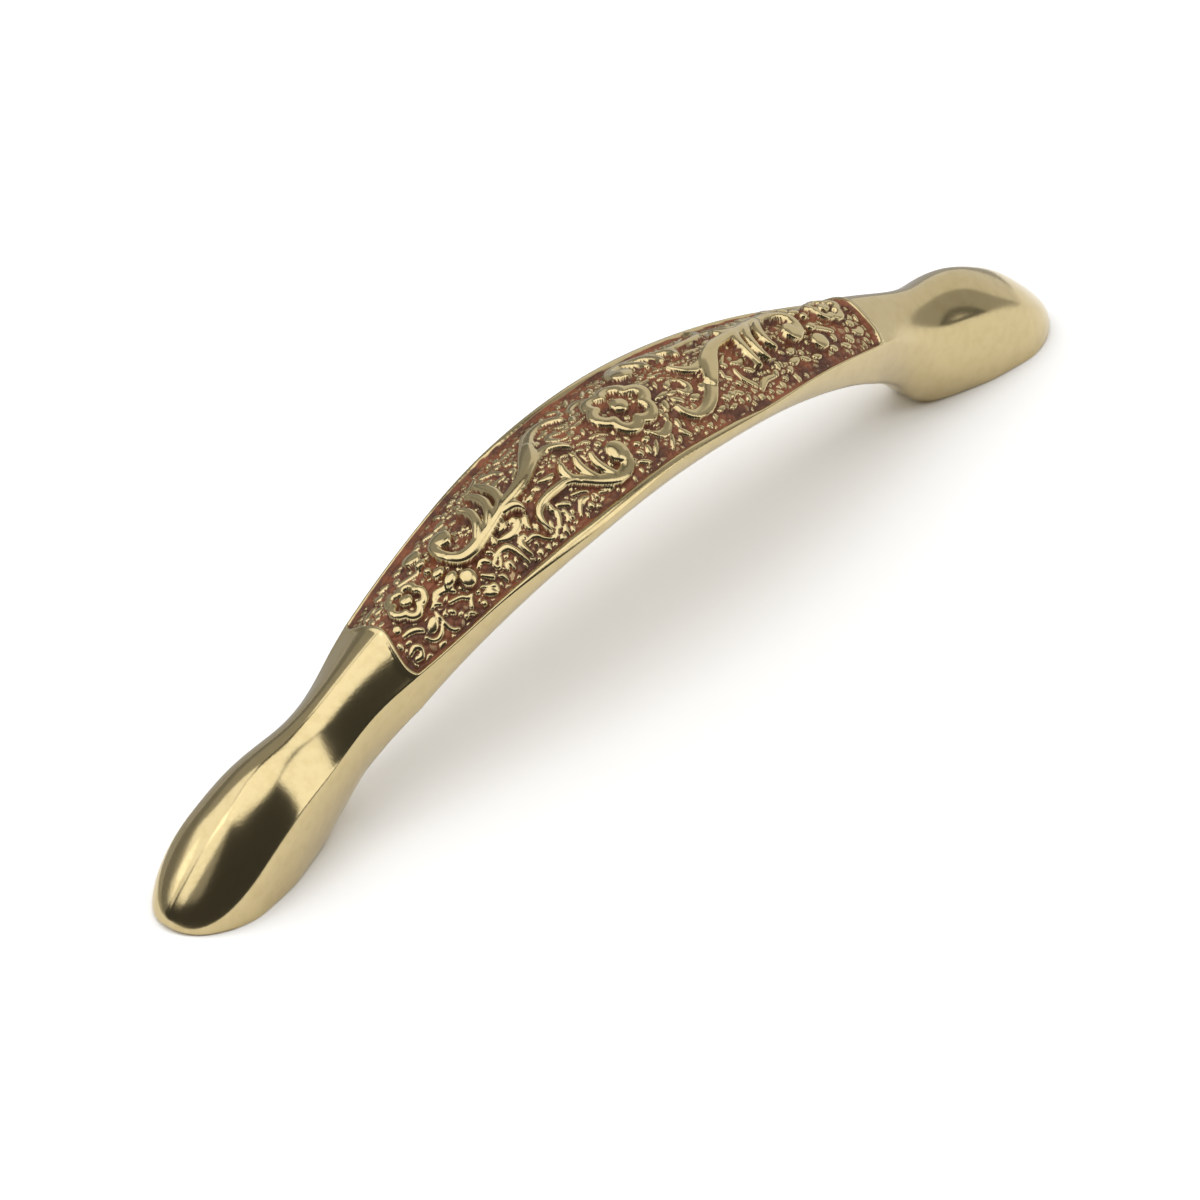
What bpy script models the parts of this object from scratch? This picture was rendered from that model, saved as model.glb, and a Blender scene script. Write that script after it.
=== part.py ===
"""A cast bridge pull: one solid arch on two spoon-shaped feet, with a carved panel along its back.

The casting is a loft of sections from toe to toe. The carving is a height over the panel, drawn for one
half and repeated on the other by a half turn. Metres, +Z up, feet on Z = 0, length along X.
"""
import math

import bmesh
import bpy
import numpy as np

NAME = "bridge_pull"

# Screw holes and feet
HOLE_SPACING = 0.096
TAP_HOLE_WIDTH = 0.0033
TAP_HOLE_DEPTH = 0.0070
TAP_HOLE_CHAMFER = 0.0004
DRILL_POINT = 0.0008
TOE_REACH = 0.012
TOE_CAP_LENGTH = 0.0077
TOE_LIFT = 0.00055
SOLE_CURL_LENGTH = 0.0080
SOLE_STOCK = 0.0003
HEEL_TO_HOLE = 0.0045
NECK_TO_HOLE = 0.0111
INSTEP_TO_HOLE = 0.0055
TOE_FROM_HOLE = 0.0055

# Sections from the middle of the bow to the toe: width over the crease, crown, crease and underside heights
MIDDLE_WIDTH = 0.01494
MIDDLE_CROWN = 0.02235
MIDDLE_CREASE = 0.01994
MIDDLE_UNDERSIDE = 0.0171
SHOULDER_TAPER = 0.0002
SHOULDER_CROWN = 0.0219
SHOULDER_CREASE = 0.0188
SHOULDER_UNDERSIDE = 0.01657
ARM_WIDTH = 0.0121
ARM_CROWN = 0.01915
ARM_CREASE = 0.01663
ARM_UNDERSIDE = 0.01313
PANEL_END_WIDTH = 0.0095
PANEL_END_CROWN = 0.01637
PANEL_END_CREASE = 0.01364
PANEL_END_UNDERSIDE = 0.0087
NECK_WIDTH = 0.0078
NECK_CROWN = 0.0140
NECK_CREASE = 0.01151
NECK_UNDERSIDE = 0.0046
INSTEP_WIDTH = 0.00835
INSTEP_CROWN = 0.01176
INSTEP_CREASE = 0.0087
BALL_WIDTH = 0.0098
BALL_CROWN = 0.01064
BALL_CREASE = 0.00692
TOE_WIDTH = 0.01017
TOE_CROWN = 0.00775
TOE_CREASE = 0.0040
UNDERSIDE_ROUNDING = 0.0005
ROUNDING_SHARE = 0.3

# Curves of the sections: the powers of the crown, of the flanks and of the toe's outline seen from above
CROWN_POWER = 1.63
BOW_FULLNESS = 1.16
FOOT_FULLNESS = 0.88
FLANK_POWER = 2.41
TOE_POWERS = (2.25, 0.532)

# Carved panel
PANEL_HALF_LENGTH = 0.0318
PANEL_DEPTH = 0.00055
END_BULGE = 0.0006
END_BULGE_PLACE = 0.7
END_ROUNDING = 0.2
RIM_RISE = 0.00012
LIP_WIDTH = 0.0005
LIP_RISE = 0.0001
WALL_WIDTH = 0.00022
SCROLL_RISE = 0.00095
FORK_RISE = 0.00072
BRANCH_RISE = 0.00085
FLOWER_RISE = 0.00090
BUD_RISE = 0.00075
CURL_RISE = 0.00105
BEAD_RISE = 0.00080
PEBBLE_RISE = 0.00038
WORM_RISE = 0.00034
BACK_ROUNDING = 0.35

# The carving stands taller or lower than these rises at places along it, in drawn millimetres from the middle
SWELL = ((0.0, 0.95), (5.0, 0.85), (12.0, 0.95), (20.0, 1.15), (26.0, 1.10), (31.8, 0.85))

# How finely the loft is built, and how many triangles are kept
PANEL_STEP = 0.0002
FOOT_STEP = 0.0008
TOE_RINGS = 15
UNDER_ROWS = 7
TRIANGLES = 11400
HOLE_SIDES = 24

HOLE_X = HOLE_SPACING / 2
HALF_LENGTH = HOLE_X + TOE_REACH
NECK_X = HOLE_X - NECK_TO_HOLE
HEEL_X = HOLE_X - HEEL_TO_HOLE
SHOULDER_WIDTH = MIDDLE_WIDTH - SHOULDER_TAPER
SHOULDER_X = 0.3 * NECK_X
ARM_X = 0.6 * NECK_X
PANEL_END_X = 0.85 * NECK_X
INSTEP_X = HOLE_X - INSTEP_TO_HOLE
TOE_X = HOLE_X + TOE_FROM_HOLE
STATIONS = (0.0, SHOULDER_X, ARM_X, PANEL_END_X, NECK_X, INSTEP_X, HOLE_X, TOE_X)
WIDTHS = (MIDDLE_WIDTH, SHOULDER_WIDTH, ARM_WIDTH, PANEL_END_WIDTH,
          NECK_WIDTH, INSTEP_WIDTH, BALL_WIDTH, TOE_WIDTH)
CROWNS = (MIDDLE_CROWN, SHOULDER_CROWN, ARM_CROWN, PANEL_END_CROWN,
          NECK_CROWN, INSTEP_CROWN, BALL_CROWN, TOE_CROWN)
CREASES = (MIDDLE_CREASE, SHOULDER_CREASE, ARM_CREASE, PANEL_END_CREASE,
           NECK_CREASE, INSTEP_CREASE, BALL_CREASE, TOE_CREASE)
UNDERSIDES = (MIDDLE_UNDERSIDE, SHOULDER_UNDERSIDE, ARM_UNDERSIDE, PANEL_END_UNDERSIDE, NECK_UNDERSIDE)

# How far the flank draws in from crease to sole, as a share of the half width, along the casting
TUCKS = ((0.0, 0.194), (SHOULDER_X, 0.165), (PANEL_END_X, 0.15), (NECK_X, 0.35),
         (NECK_X + 0.34 * NECK_TO_HOLE, 0.52), (HOLE_X - 0.33 * NECK_TO_HOLE, 0.28),
         (HOLE_X, 0.11), (TOE_X, 0.0))

# Rows of the flank, as shares of the way down from the crease, and rows of the rounding below it
FLANK_ROWS = (0.12, 0.3, 0.5, 0.7, 0.88, 1.0)
ROUNDING_ROWS = 2

# The carving is drawn on a panel of this size, in millimetres seen from above, with its middle at 0, 0.
# Only the half at -X is drawn. Each point of a line is x, y and half the line's width there.
DRAWN_HALF_LENGTH = 31.8
DRAWN_HALF_WIDTH = 7.47
DRAWN_WALL = 0.16

# Width of the rim at places along the panel's near side. The far side has the same, turned by half.
RIM = ((-31.0, 0.15), (-26.0, 0.20), (-22.0, 0.35), (-18.0, 0.55), (-14.0, 0.78), (-9.0, 0.80),
       (0.0, 0.62), (8.0, 0.50), (12.0, 0.22), (20.0, 0.14))

STEM = (
    (-21.9, 2.25, 0.54), (-22.75, 1.75, 0.50), (-23.2, 0.7, 0.48), (-23.1, -0.3, 0.50),
    (-22.45, -1.05, 0.55), (-21.3, -1.35, 0.60), (-19.8, -1.25, 0.64), (-18.2, -1.05, 0.64),
    (-16.4, -0.65, 0.62), (-14.6, -0.4, 0.60), (-13, -0.05, 0.62), (-11.9, 0.5, 0.71), (-10.9, 1.2, 0.85),
    (-10, 2.1, 0.78), (-9.2, 2.9, 0.66),
)
UPPER_BRANCH = (
    (-10.4, 1.8, 0.70), (-9.2, 2.95, 0.66), (-7.9, 4.1, 0.62), (-6.7, 4.75, 0.55), (-5.5, 4.9, 0.50),
    (-4.75, 4.65, 0.48), (-4.25, 4.05, 0.44), (-4.1, 3.45, 0.30),
)
VOLUTE = (-21.8, 2.0, 1.0, 0.95, 40.0)
LOWER_BRANCH = (
    (-10.9, 0.9, 0.57), (-10.1, 1.05, 0.53), (-9.3, 1.2, 0.48), (-8.5, 1.05, 0.43), (-7.9, 0.6, 0.39),
    (-7.5, 0, 0.31), (-7.3, -0.6, 0.14),
)
THORN = ((-16.6, -0.85, 0.48), (-15.7, -1.1, 0.46), (-15.3, -1.6, 0.32), (-15.3, -2.2, 0.11))
SCROLL_LEAVES = (
    ((-20.1, -1.0, 0.42), (-19.1, -0.1, 0.44), (-18.5, 0.8, 0.42), (-18.2, 1.7, 0.40), (-18.3, 2.6, 0.28)),
    ((-18.6, -0.9, 0.42), (-17.7, -0.2, 0.44), (-17.0, 0.6, 0.42), (-16.6, 1.5, 0.42), (-16.4, 2.6, 0.38),
     (-16.5, 3.4, 0.25)),
    ((-16.9, -0.6, 0.42), (-16.1, -0.1, 0.44), (-15.5, 0.9, 0.44), (-15.2, 2.1, 0.42), (-15.1, 3.1, 0.36),
     (-15.05, 3.7, 0.22)),
)
C_SCROLL = (
    (-4.1, -3.3, 0.50), (-3.95, -4.0, 0.55), (-4.3, -4.75, 0.57), (-5.1, -5.25, 0.58), (-6.2, -5.3, 0.56),
    (-7.2, -4.9, 0.54), (-8.2, -4.3, 0.50), (-9.1, -3.6, 0.44), (-9.8, -3.1, 0.40), (-10.6, -2.8, 0.37),
    (-11.6, -2.75, 0.37), (-12.7, -2.7, 0.38), (-13.8, -2.85, 0.38), (-14.55, -3.3, 0.34),
    (-14.85, -4.0, 0.27), (-14.8, -4.9, 0.14),
)
C_BALL = (-4.4, -3.55, 1.05, 1.05, 0.0)
C_LEAVES = (
    ((-9.4, -3.5, 0.40), (-9.85, -2.8, 0.45), (-9.85, -2.1, 0.45), (-9.55, -1.5, 0.32)),
    ((-7.8, -4.4, 0.40), (-8.2, -3.5, 0.43), (-8.25, -2.5, 0.42), (-8.0, -1.8, 0.28)),
    ((-6.2, -5.0, 0.38), (-6.6, -4.1, 0.40), (-6.75, -3.2, 0.40), (-6.55, -2.35, 0.26)),
)
WORMS = (
    ((-30.9, -1.9, 0.21), (-30.3, -2.1, 0.24), (-29.7, -2.3, 0.24), (-29.3, -2.7, 0.21)),
    ((-31.2, -3.8, 0.24), (-30.7, -3.9, 0.27), (-30.4, -3.5, 0.27), (-30.8, -3.1, 0.27),
     (-31.4, -3.2, 0.21)),
    ((-29.4, -3.2, 0.24), (-29, -3.8, 0.27), (-28.3, -3.95, 0.27), (-27.7, -3.6, 0.24)),
    ((-27.35, -2.7, 0.21), (-27.35, -3.6, 0.24), (-27.15, -4.25, 0.27), (-26.75, -4.6, 0.21)),
    ((-27.3, -2, 0.27), (-26.9, -2.1, 0.33), (-26.5, -2.4, 0.24)),
    ((-26.6, -1.75, 0.45), (-25.9, -1.6, 0.54), (-25.2, -1.9, 0.48), (-24.8, -2.4, 0.24)),
    ((-25.8, -2.75, 0.24), (-25.2, -2.95, 0.33), (-24.6, -3.3, 0.33), (-24.1, -3.6, 0.27),
     (-24.35, -4.2, 0.24)),
    ((-22.4, -3.9, 0.27), (-21.9, -4.35, 0.36), (-21.8, -4.9, 0.30)),
    ((-21.9, -3.3, 0.27), (-21.3, -3.75, 0.30)),
    ((-20.5, -3.4, 0.27), (-19.9, -3.05, 0.33), (-19.2, -2.9, 0.36), (-18.5, -3.2, 0.36),
     (-18.2, -3.95, 0.33), (-18.05, -5.1, 0.18)),
    ((-17.5, -3.5, 0.51), (-17.35, -4.8, 0.18)),
    ((-16, -4.4, 0.33), (-15.3, -5, 0.33), (-14.7, -5.4, 0.30), (-14.1, -5.1, 0.36), (-13.5, -4.5, 0.45)),
    ((-11.7, -5.75, 0.18), (-11.1, -5.2, 0.33), (-10.5, -4.95, 0.45), (-9.9, -5, 0.33)),
    ((-10.4, -4.2, 0.30), (-9.6, -4.6, 0.27)),
    ((-8.7, -5.3, 0.27), (-8, -5.6, 0.30), (-7.3, -5.8, 0.18)),
    ((-4.9, -0.9, 0.30), (-4, -1.05, 0.30), (-3.3, -1.6, 0.18)),
    ((-2.2, 4.1, 0.33), (-1.4, 4.5, 0.45), (-0.65, 4.5, 0.45), (-0.1, 3.95, 0.27)),
    ((-6.9, 1.3, 0.30), (-7.1, 2, 0.36), (-6.9, 2.5, 0.39), (-6.3, 2.6, 0.39), (-5.9, 2.1, 0.27)),
    ((-13.2, 4.85, 0.39), (-12.85, 3.95, 0.30), (-12.5, 3.05, 0.18)),
    ((-11.45, 3.5, 0.23), (-11, 3.2, 0.24), (-11.2, 2.6, 0.21)),
    ((-15.8, 4.85, 0.21), (-14.9, 4.85, 0.27), (-14.2, 5.1, 0.33), (-13.5, 5.5, 0.24)),
    ((-14.5, 2.35, 0.30), (-13.8, 2.5, 0.33), (-13.1, 2.35, 0.27)),
    ((-26.9, 2.5, 0.27), (-25.8, 1.9, 0.33), (-25, 1.6, 0.27)),
    ((-30.7, 3, 0.33), (-30.2, 3.2, 0.36), (-29.6, 3.1, 0.27)),
)

# Each bead or pebble is x, y, half length, half width and the turn of its length in degrees
BEADS = (
    (-24.95, 0.75, 0.34, 0.34, 0), (-24.55, -0.15, 0.71, 0.41, 0), (-24.25, -1.3, 0.80, 0.48, 10),
    (-23.4, -2.6, 0.83, 0.83, 0), (-24.6, 1.75, 0.57, 0.39, 5), (-24.05, 3.3, 0.92, 0.76, 15),
)
PEBBLES = (
    (-30.9, -1.05, 0.43, 0.43, 0), (-28.3, -2.9, 0.70, 0.51, 30), (-26.3, -3.5, 0.40, 0.26, -50),
    (-25.5, -4.5, 0.28, 0.26, 0), (-23.3, -4, 0.28, 0.26, 0), (-23.55, -4.85, 0.36, 0.28, 0),
    (-22.55, -4.6, 0.70, 0.33, -40), (-21.55, -2.55, 0.54, 0.36, 10), (-20.95, -2.8, 0.51, 0.31, -60),
    (-20.15, -2.35, 0.48, 0.31, -40), (-19.15, -2, 0.54, 0.38, 20), (-17.6, -1.75, 0.79, 0.40, 8),
    (-16.45, -1.85, 0.51, 0.46, 0), (-17.35, -2.55, 1.66, 0.43, 0), (-15.7, -2.95, 0.59, 0.43, 60),
    (-20.45, -3.75, 0.31, 0.26, 0), (-19.6, -4.25, 0.54, 0.46, 60), (-20.65, -4.7, 0.51, 0.28, 80),
    (-16.9, -3.7, 0.43, 0.33, 0), (-16.1, -3.75, 0.51, 0.38, -50), (-16.5, -4.9, 0.56, 0.28, 75),
    (-13.7, -1.6, 0.69, 0.33, 10), (-11.1, -1.3, 0.94, 0.36, -15), (-11.05, -0.45, 0.51, 0.23, 0),
    (-10.1, -0.45, 0.43, 0.23, 60), (-8.25, -0.75, 0.54, 0.31, -15), (-13.05, -3.45, 0.54, 0.43, 0),
    (-11.95, -4.1, 0.79, 0.43, -45), (-12.75, -5.15, 0.59, 0.43, 80), (-10.15, -5.7, 0.43, 0.33, 30),
    (-9.1, -5.4, 0.43, 0.20, 80), (-6.6, -1.15, 0.56, 0.23, -35), (-5.65, -0.85, 0.63, 0.33, -25),
    (-4.9, -1.8, 0.43, 0.36, 0), (-2.15, -4.1, 0.51, 0.38, 0), (-1.1, -4.15, 0.54, 0.31, 0),
    (-2.6, -4.95, 0.40, 0.36, 0), (-1.8, -5, 0.59, 0.43, 60), (-2.9, -5.7, 0.79, 0.36, -25),
    (-1, -5.4, 0.94, 0.26, 40), (-1.75, 5.8, 0.43, 0.18, 45), (-2.75, 5.55, 0.70, 0.38, -60),
    (-0.95, 5.6, 0.87, 0.22, 45), (-4.05, 5.9, 0.38, 0.19, 45), (-2.95, 4.5, 0.52, 0.30, 60),
    (-2.5, 3.5, 0.51, 0.26, 30), (-3.45, 2.6, 0.71, 0.38, 50), (-4.1, 1.55, 0.84, 0.26, 0),
    (-4.9, 2.75, 0.71, 0.36, -45), (-5.15, 1.95, 0.51, 0.26, 0), (-6.6, 3.45, 0.69, 0.36, 0),
    (-8, 2.9, 0.51, 0.26, 45), (-6.3, 0.85, 0.59, 0.20, -20), (-5.5, 0.95, 0.54, 0.36, 30),
    (-4.7, 0.2, 0.59, 0.20, 60), (-5.7, 0, 0.43, 0.26, -20), (-9.3, 4.85, 0.48, 0.36, 0),
    (-10.1, 4.8, 0.43, 0.36, 0), (-10.9, 4.95, 0.56, 0.31, -20), (-7.9, 5.45, 0.63, 0.23, 10),
    (-9.3, 5.75, 0.59, 0.17, 10), (-11.4, 5.7, 0.43, 0.23, 40), (-11.75, 4.25, 0.38, 0.31, 0),
    (-12.05, 2.8, 0.43, 0.40, 0), (-14.1, 3.5, 0.66, 0.36, -15), (-12.5, 1.55, 0.77, 0.19, 30),
    (-28.3, 3.6, 0.51, 0.43, 0), (-26.4, 3.2, 0.46, 0.33, 50), (-21, 4.3, 0.63, 0.33, -20),
    (-20.2, 3.2, 0.70, 0.36, 20), (-19.6, 4.2, 0.84, 0.36, 10), (-18.3, 4.8, 0.51, 0.28, 30),
    (-17.3, 4.1, 0.51, 0.28, 60), (-16.4, 4.7, 0.51, 0.28, 40), (-16.9, 5.4, 0.33, 0.28, 0),
    (-22.6, 4.4, 0.63, 0.28, 0), (-29.9, 2.3, 0.51, 0.38, 0), (-25.4, 4.1, 0.46, 0.33, 0),
    (-27.2, 4.1, 0.59, 0.26, -10), (-31.2, 1.9, 0.46, 0.23, 70), (-25, -4.9, 0.38, 0.18, -50),
)
SEED_RING = (-19.95, 0.85, 0.52, 9)
SEED_SIZE = (0.22, 0.10)

FLOWER_LOBES = 6
FLOWER_LOBE_RADIUS = 3.08
FLOWER_NOTCH_RADIUS = 2.30
FLOWER_LINE = 0.56
FLOWER_BOSS = (0.0, 0.0, 0.88, 0.84, 90.0)
BUD_X = -28.5
BUD_LOBES = 5
BUD_LOBE_RADIUS = 1.80
BUD_NOTCH_RADIUS = 1.25
BUD_LINE = 0.42
BUD_TURN = 184.0
BUD_BOSS = (BUD_X, 0.0, 0.62, 0.58, 0.0)
LOBE_POWER = 0.9


def ramp(value, low, high):
    """A smooth step from 0 at low to 1 at high."""
    share = np.clip((value - low) / (high - low), 0.0, 1.0)
    return share * share * (3.0 - 2.0 * share)


def spline(stations, values, at):
    """A cubic spline that is level at its first station and free at its last, run on straight past it."""
    stations = np.asarray(stations, float)
    values = np.asarray(values, float)
    count = len(stations)
    gaps = np.diff(stations)
    rises = np.diff(values) / gaps
    matrix = np.zeros((count, count))
    right = np.zeros(count)
    matrix[0, 0] = 2.0 * gaps[0]
    matrix[0, 1] = gaps[0]
    right[0] = 6.0 * rises[0]
    for row in range(1, count - 1):
        matrix[row, row - 1] = gaps[row - 1]
        matrix[row, row] = 2.0 * (gaps[row - 1] + gaps[row])
        matrix[row, row + 1] = gaps[row]
        right[row] = 6.0 * (rises[row] - rises[row - 1])
    matrix[-1, -1] = 1.0
    bends = np.linalg.solve(matrix, right)
    inside = np.clip(at, stations[0], stations[-1])
    span = np.clip(np.searchsorted(stations, inside, side="right") - 1, 0, count - 2)
    before = inside - stations[span]
    after = stations[span + 1] - inside
    gap = gaps[span]
    curve = (bends[span] * after ** 3 + bends[span + 1] * before ** 3) / (6.0 * gap)
    curve += (values[span] / gap - bends[span] * gap / 6.0) * after
    curve += (values[span + 1] / gap - bends[span + 1] * gap / 6.0) * before
    end_slope = rises[-1] + gaps[-1] * (bends[-2] + 2.0 * bends[-1]) / 6.0
    return curve + end_slope * np.maximum(at - stations[-1], 0.0)


def drawn_line(points, steps=6):
    """The line through the points, rounded by Catmull and Rom's curve."""
    points = np.asarray(points, float)
    padded = np.vstack([2 * points[0] - points[1], points, 2 * points[-1] - points[-2]])
    share = np.linspace(0.0, 1.0, steps, endpoint=False)[:, None]
    rows = []
    for a, b, c, d in zip(padded[:-3], padded[1:-2], padded[2:-1], padded[3:]):
        rows.append(0.5 * (2 * b + (c - a) * share + (2 * a - 5 * b + 4 * c - d) * share ** 2
                           + (3 * b - a - 3 * c + d) * share ** 3))
    rows.append(points[-1:])
    return np.vstack(rows)


def ring_line(centre_x, lobes, lobe_radius, notch_radius, half_width, turn=0.0):
    """The lobed outline of a flower, as a closed line of even width."""
    angles = np.linspace(0.0, 2 * math.pi, 24 * lobes + 1)
    radius = notch_radius + (lobe_radius - notch_radius) * np.abs(np.cos(lobes * angles / 2)) ** LOBE_POWER
    angles = angles + math.radians(turn)
    widths = np.full_like(angles, half_width)
    return np.stack([centre_x + radius * np.cos(angles), radius * np.sin(angles), widths], axis=1)


def raise_line(height, x, y, line, rise):
    """Lift the surface to a rounded ridge along a line, with a steep wall on both sides."""
    reach = line[:, 2].max() + DRAWN_WALL
    low = line[:, :2].min(axis=0) - reach
    high = line[:, :2].max(axis=0) + reach
    near = np.flatnonzero((x > low[0]) & (x < high[0]) & (y > low[1]) & (y < high[1]))
    if not len(near):
        return
    px = x[near]
    py = y[near]
    best = np.zeros(len(near))
    for (ax, ay, aw), (bx, by, bw) in zip(line[:-1], line[1:]):
        dx = bx - ax
        dy = by - ay
        along = np.clip(((px - ax) * dx + (py - ay) * dy) / (dx * dx + dy * dy + 1e-12), 0.0, 1.0)
        away = np.hypot(px - ax - along * dx, py - ay - along * dy)
        best = np.maximum(best, ridge(away, aw + (bw - aw) * along))
    height[near] = np.maximum(height[near], rise * best)


def raise_bead(height, x, y, bead, rise):
    """Lift the surface to a rounded oval."""
    centre_x, centre_y, half_length, half_width, turn = bead
    reach = half_length + DRAWN_WALL
    near = np.flatnonzero(np.maximum(np.abs(x - centre_x), np.abs(y - centre_y)) < reach)
    c = math.cos(math.radians(turn))
    s = math.sin(math.radians(turn))
    along = (x[near] - centre_x) * c + (y[near] - centre_y) * s
    across = (y[near] - centre_y) * c - (x[near] - centre_x) * s
    away = np.hypot(along, across)
    radius = away / np.maximum(np.hypot(along / half_length, across / half_width), 1e-9)
    lifted = rise * ridge(away, np.maximum(radius, 1e-9))
    height[near] = np.maximum(height[near], lifted)


def ridge(away, half_width):
    """Section of a cast ridge: a rounded back as wide as drawn, then a steep wall down to the ground."""
    back = 1.0 - BACK_ROUNDING * np.minimum(away / half_width, 1.0) ** 2
    return back * (1.0 - ramp(away - half_width, 0.0, DRAWN_WALL))


def carving(x, y):
    """Height of the carving over the panel's ground, at places given in metres."""
    shape = x.shape
    x = x.ravel() * DRAWN_HALF_LENGTH / PANEL_HALF_LENGTH
    y = y.ravel() * DRAWN_HALF_WIDTH / (MIDDLE_WIDTH / 2)
    height = np.zeros_like(x)
    for turn in (1.0, -1.0):
        u = turn * x
        v = turn * y
        for pebble in PEBBLES:
            raise_bead(height, u, v, pebble, PEBBLE_RISE)
        centre_x, centre_y, radius, count = SEED_RING
        for number in range(count):
            angle = 2 * math.pi * number / count
            place = (centre_x + radius * math.cos(angle), centre_y + radius * math.sin(angle))
            raise_bead(height, u, v, (*place, *SEED_SIZE, math.degrees(angle)), WORM_RISE)
        for worm in WORMS:
            raise_line(height, u, v, drawn_line(worm), WORM_RISE)
        for bead in BEADS:
            raise_bead(height, u, v, bead, BEAD_RISE)
        bud = ring_line(BUD_X, BUD_LOBES, BUD_LOBE_RADIUS, BUD_NOTCH_RADIUS, BUD_LINE, BUD_TURN)
        raise_line(height, u, v, bud, BUD_RISE)
        raise_bead(height, u, v, BUD_BOSS, BUD_RISE)
        raise_line(height, u, v, drawn_line(STEM), SCROLL_RISE)
        raise_bead(height, u, v, VOLUTE, CURL_RISE)
        raise_line(height, u, v, drawn_line(THORN), SCROLL_RISE)
        for leaf in SCROLL_LEAVES:
            raise_line(height, u, v, drawn_line(leaf), SCROLL_RISE)
        raise_line(height, u, v, drawn_line(UPPER_BRANCH), FORK_RISE)
        raise_line(height, u, v, drawn_line(LOWER_BRANCH), FORK_RISE)
        raise_line(height, u, v, drawn_line(C_SCROLL), BRANCH_RISE)
        raise_bead(height, u, v, C_BALL, CURL_RISE)
        for leaf in C_LEAVES:
            raise_line(height, u, v, drawn_line(leaf), BRANCH_RISE)
    flower = ring_line(0.0, FLOWER_LOBES, FLOWER_LOBE_RADIUS, FLOWER_NOTCH_RADIUS, FLOWER_LINE)
    raise_line(height, x, y, flower, FLOWER_RISE)
    raise_bead(height, x, y, FLOWER_BOSS, FLOWER_RISE)
    height *= np.interp(np.abs(x), *zip(*SWELL))
    return height.reshape(shape)


def columns():
    """Places along X with a section: close in the panel, wider in the feet, finer at the toe."""
    panel_reach = PANEL_HALF_LENGTH + END_BULGE + LIP_WIDTH
    cap_x = HALF_LENGTH - TOE_CAP_LENGTH
    panel = np.linspace(0.0, panel_reach, math.ceil(panel_reach / PANEL_STEP) + 1)
    foot = np.linspace(panel_reach, cap_x, math.ceil((cap_x - panel_reach) / FOOT_STEP) + 1)
    turn = np.linspace(0.0, math.pi / 2, TOE_RINGS)
    toe = cap_x + TOE_CAP_LENGTH * np.sin(turn)
    half = np.concatenate([panel, foot[1:], toe[1:]])
    return np.concatenate([-half[:0:-1], half])


def casting():
    """Rings of points round the casting, one ring for each place along it."""
    x = columns()
    out = np.abs(x)
    share = np.clip((out - (HALF_LENGTH - TOE_CAP_LENGTH)) / TOE_CAP_LENGTH, 0.0, 1.0)
    cap = np.maximum(1.0 - share ** TOE_POWERS[0], 0.0) ** TOE_POWERS[1]
    half_width = spline(STATIONS, WIDTHS, out) / 2 * cap
    crown = TOE_LIFT + (spline(STATIONS, CROWNS, out) - TOE_LIFT) * cap
    crease = TOE_LIFT + (spline(STATIONS, CREASES, out) - TOE_LIFT) * cap
    heel = ramp(out, NECK_X, HEEL_X)
    sole = spline(STATIONS[:len(UNDERSIDES)], UNDERSIDES, out) * (1.0 - heel) - SOLE_STOCK * heel
    curl = np.clip((out - (HALF_LENGTH - SOLE_CURL_LENGTH)) / SOLE_CURL_LENGTH, 0.0, 1.0)
    sole = np.minimum(sole + (TOE_LIFT + SOLE_STOCK) * (1.0 - np.sqrt(1.0 - curl ** 2)), crease)
    tuck = np.interp(out, *zip(*TUCKS))

    across = np.linspace(-1.0, 1.0, math.ceil(MIDDLE_WIDTH / PANEL_STEP) + 1)[None]
    dome = np.maximum(1.0 - np.abs(across) ** CROWN_POWER, 0.0)
    fullness = BOW_FULLNESS + (FOOT_FULLNESS - BOW_FULLNESS) * ramp(out, NECK_X, HOLE_X)
    top = np.stack([np.broadcast_to(x[:, None], (len(x), across.shape[1])), half_width[:, None] * across,
                    crease[:, None] + (crown - crease)[:, None] * dome ** fullness[:, None]], axis=-1)
    top = top + relief(top[..., 0], top[..., 1], half_width)[..., None] * normals(top)

    drop = (crease - sole)[:, None]
    rounding = np.minimum(UNDERSIDE_ROUNDING, ROUNDING_SHARE * np.minimum(drop[:, 0], half_width))[:, None]
    down = np.array(FLANK_ROWS)[None]
    level = down * (1.0 - rounding / np.maximum(drop, 1e-9))
    flank_y = half_width[:, None] * (1.0 - tuck[:, None] * level ** FLANK_POWER)
    flank_z = crease[:, None] - drop * level
    foot_y = half_width[:, None] * (1.0 - tuck[:, None])
    bend = np.linspace(0.0, math.pi / 2, ROUNDING_ROWS + 1)[None, 1:]
    bend_y = np.minimum(foot_y, flank_y[:, -1:]) - rounding * (1.0 - np.cos(bend))
    bend_z = sole[:, None] + rounding * (1.0 - np.sin(bend))
    side_y = np.concatenate([flank_y, bend_y], axis=1)
    side_z = np.concatenate([flank_z, bend_z], axis=1)
    under = np.linspace(1.0, -1.0, UNDER_ROWS)[None, 1:-1]
    under_y = bend_y[:, -1:] * under
    under_z = np.broadcast_to(bend_z[:, -1:], under_y.shape)
    rest_y = np.concatenate([side_y, under_y, -side_y[:, ::-1], top[:, :1, 1]], axis=1)
    rest_z = np.concatenate([side_z, under_z, side_z[:, ::-1], top[:, :1, 2]], axis=1)
    rest_x = np.broadcast_to(x[:, None], rest_y.shape)
    return np.concatenate([top, np.stack([rest_x, rest_y, rest_z], axis=-1)], axis=1)


def normals(surface):
    """The upward normal at each point of the crown."""
    along = np.gradient(surface, axis=0)
    across = np.gradient(surface, axis=1)
    up = np.cross(along, across)
    return up / np.maximum(np.linalg.norm(up, axis=-1, keepdims=True), 1e-12)


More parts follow.
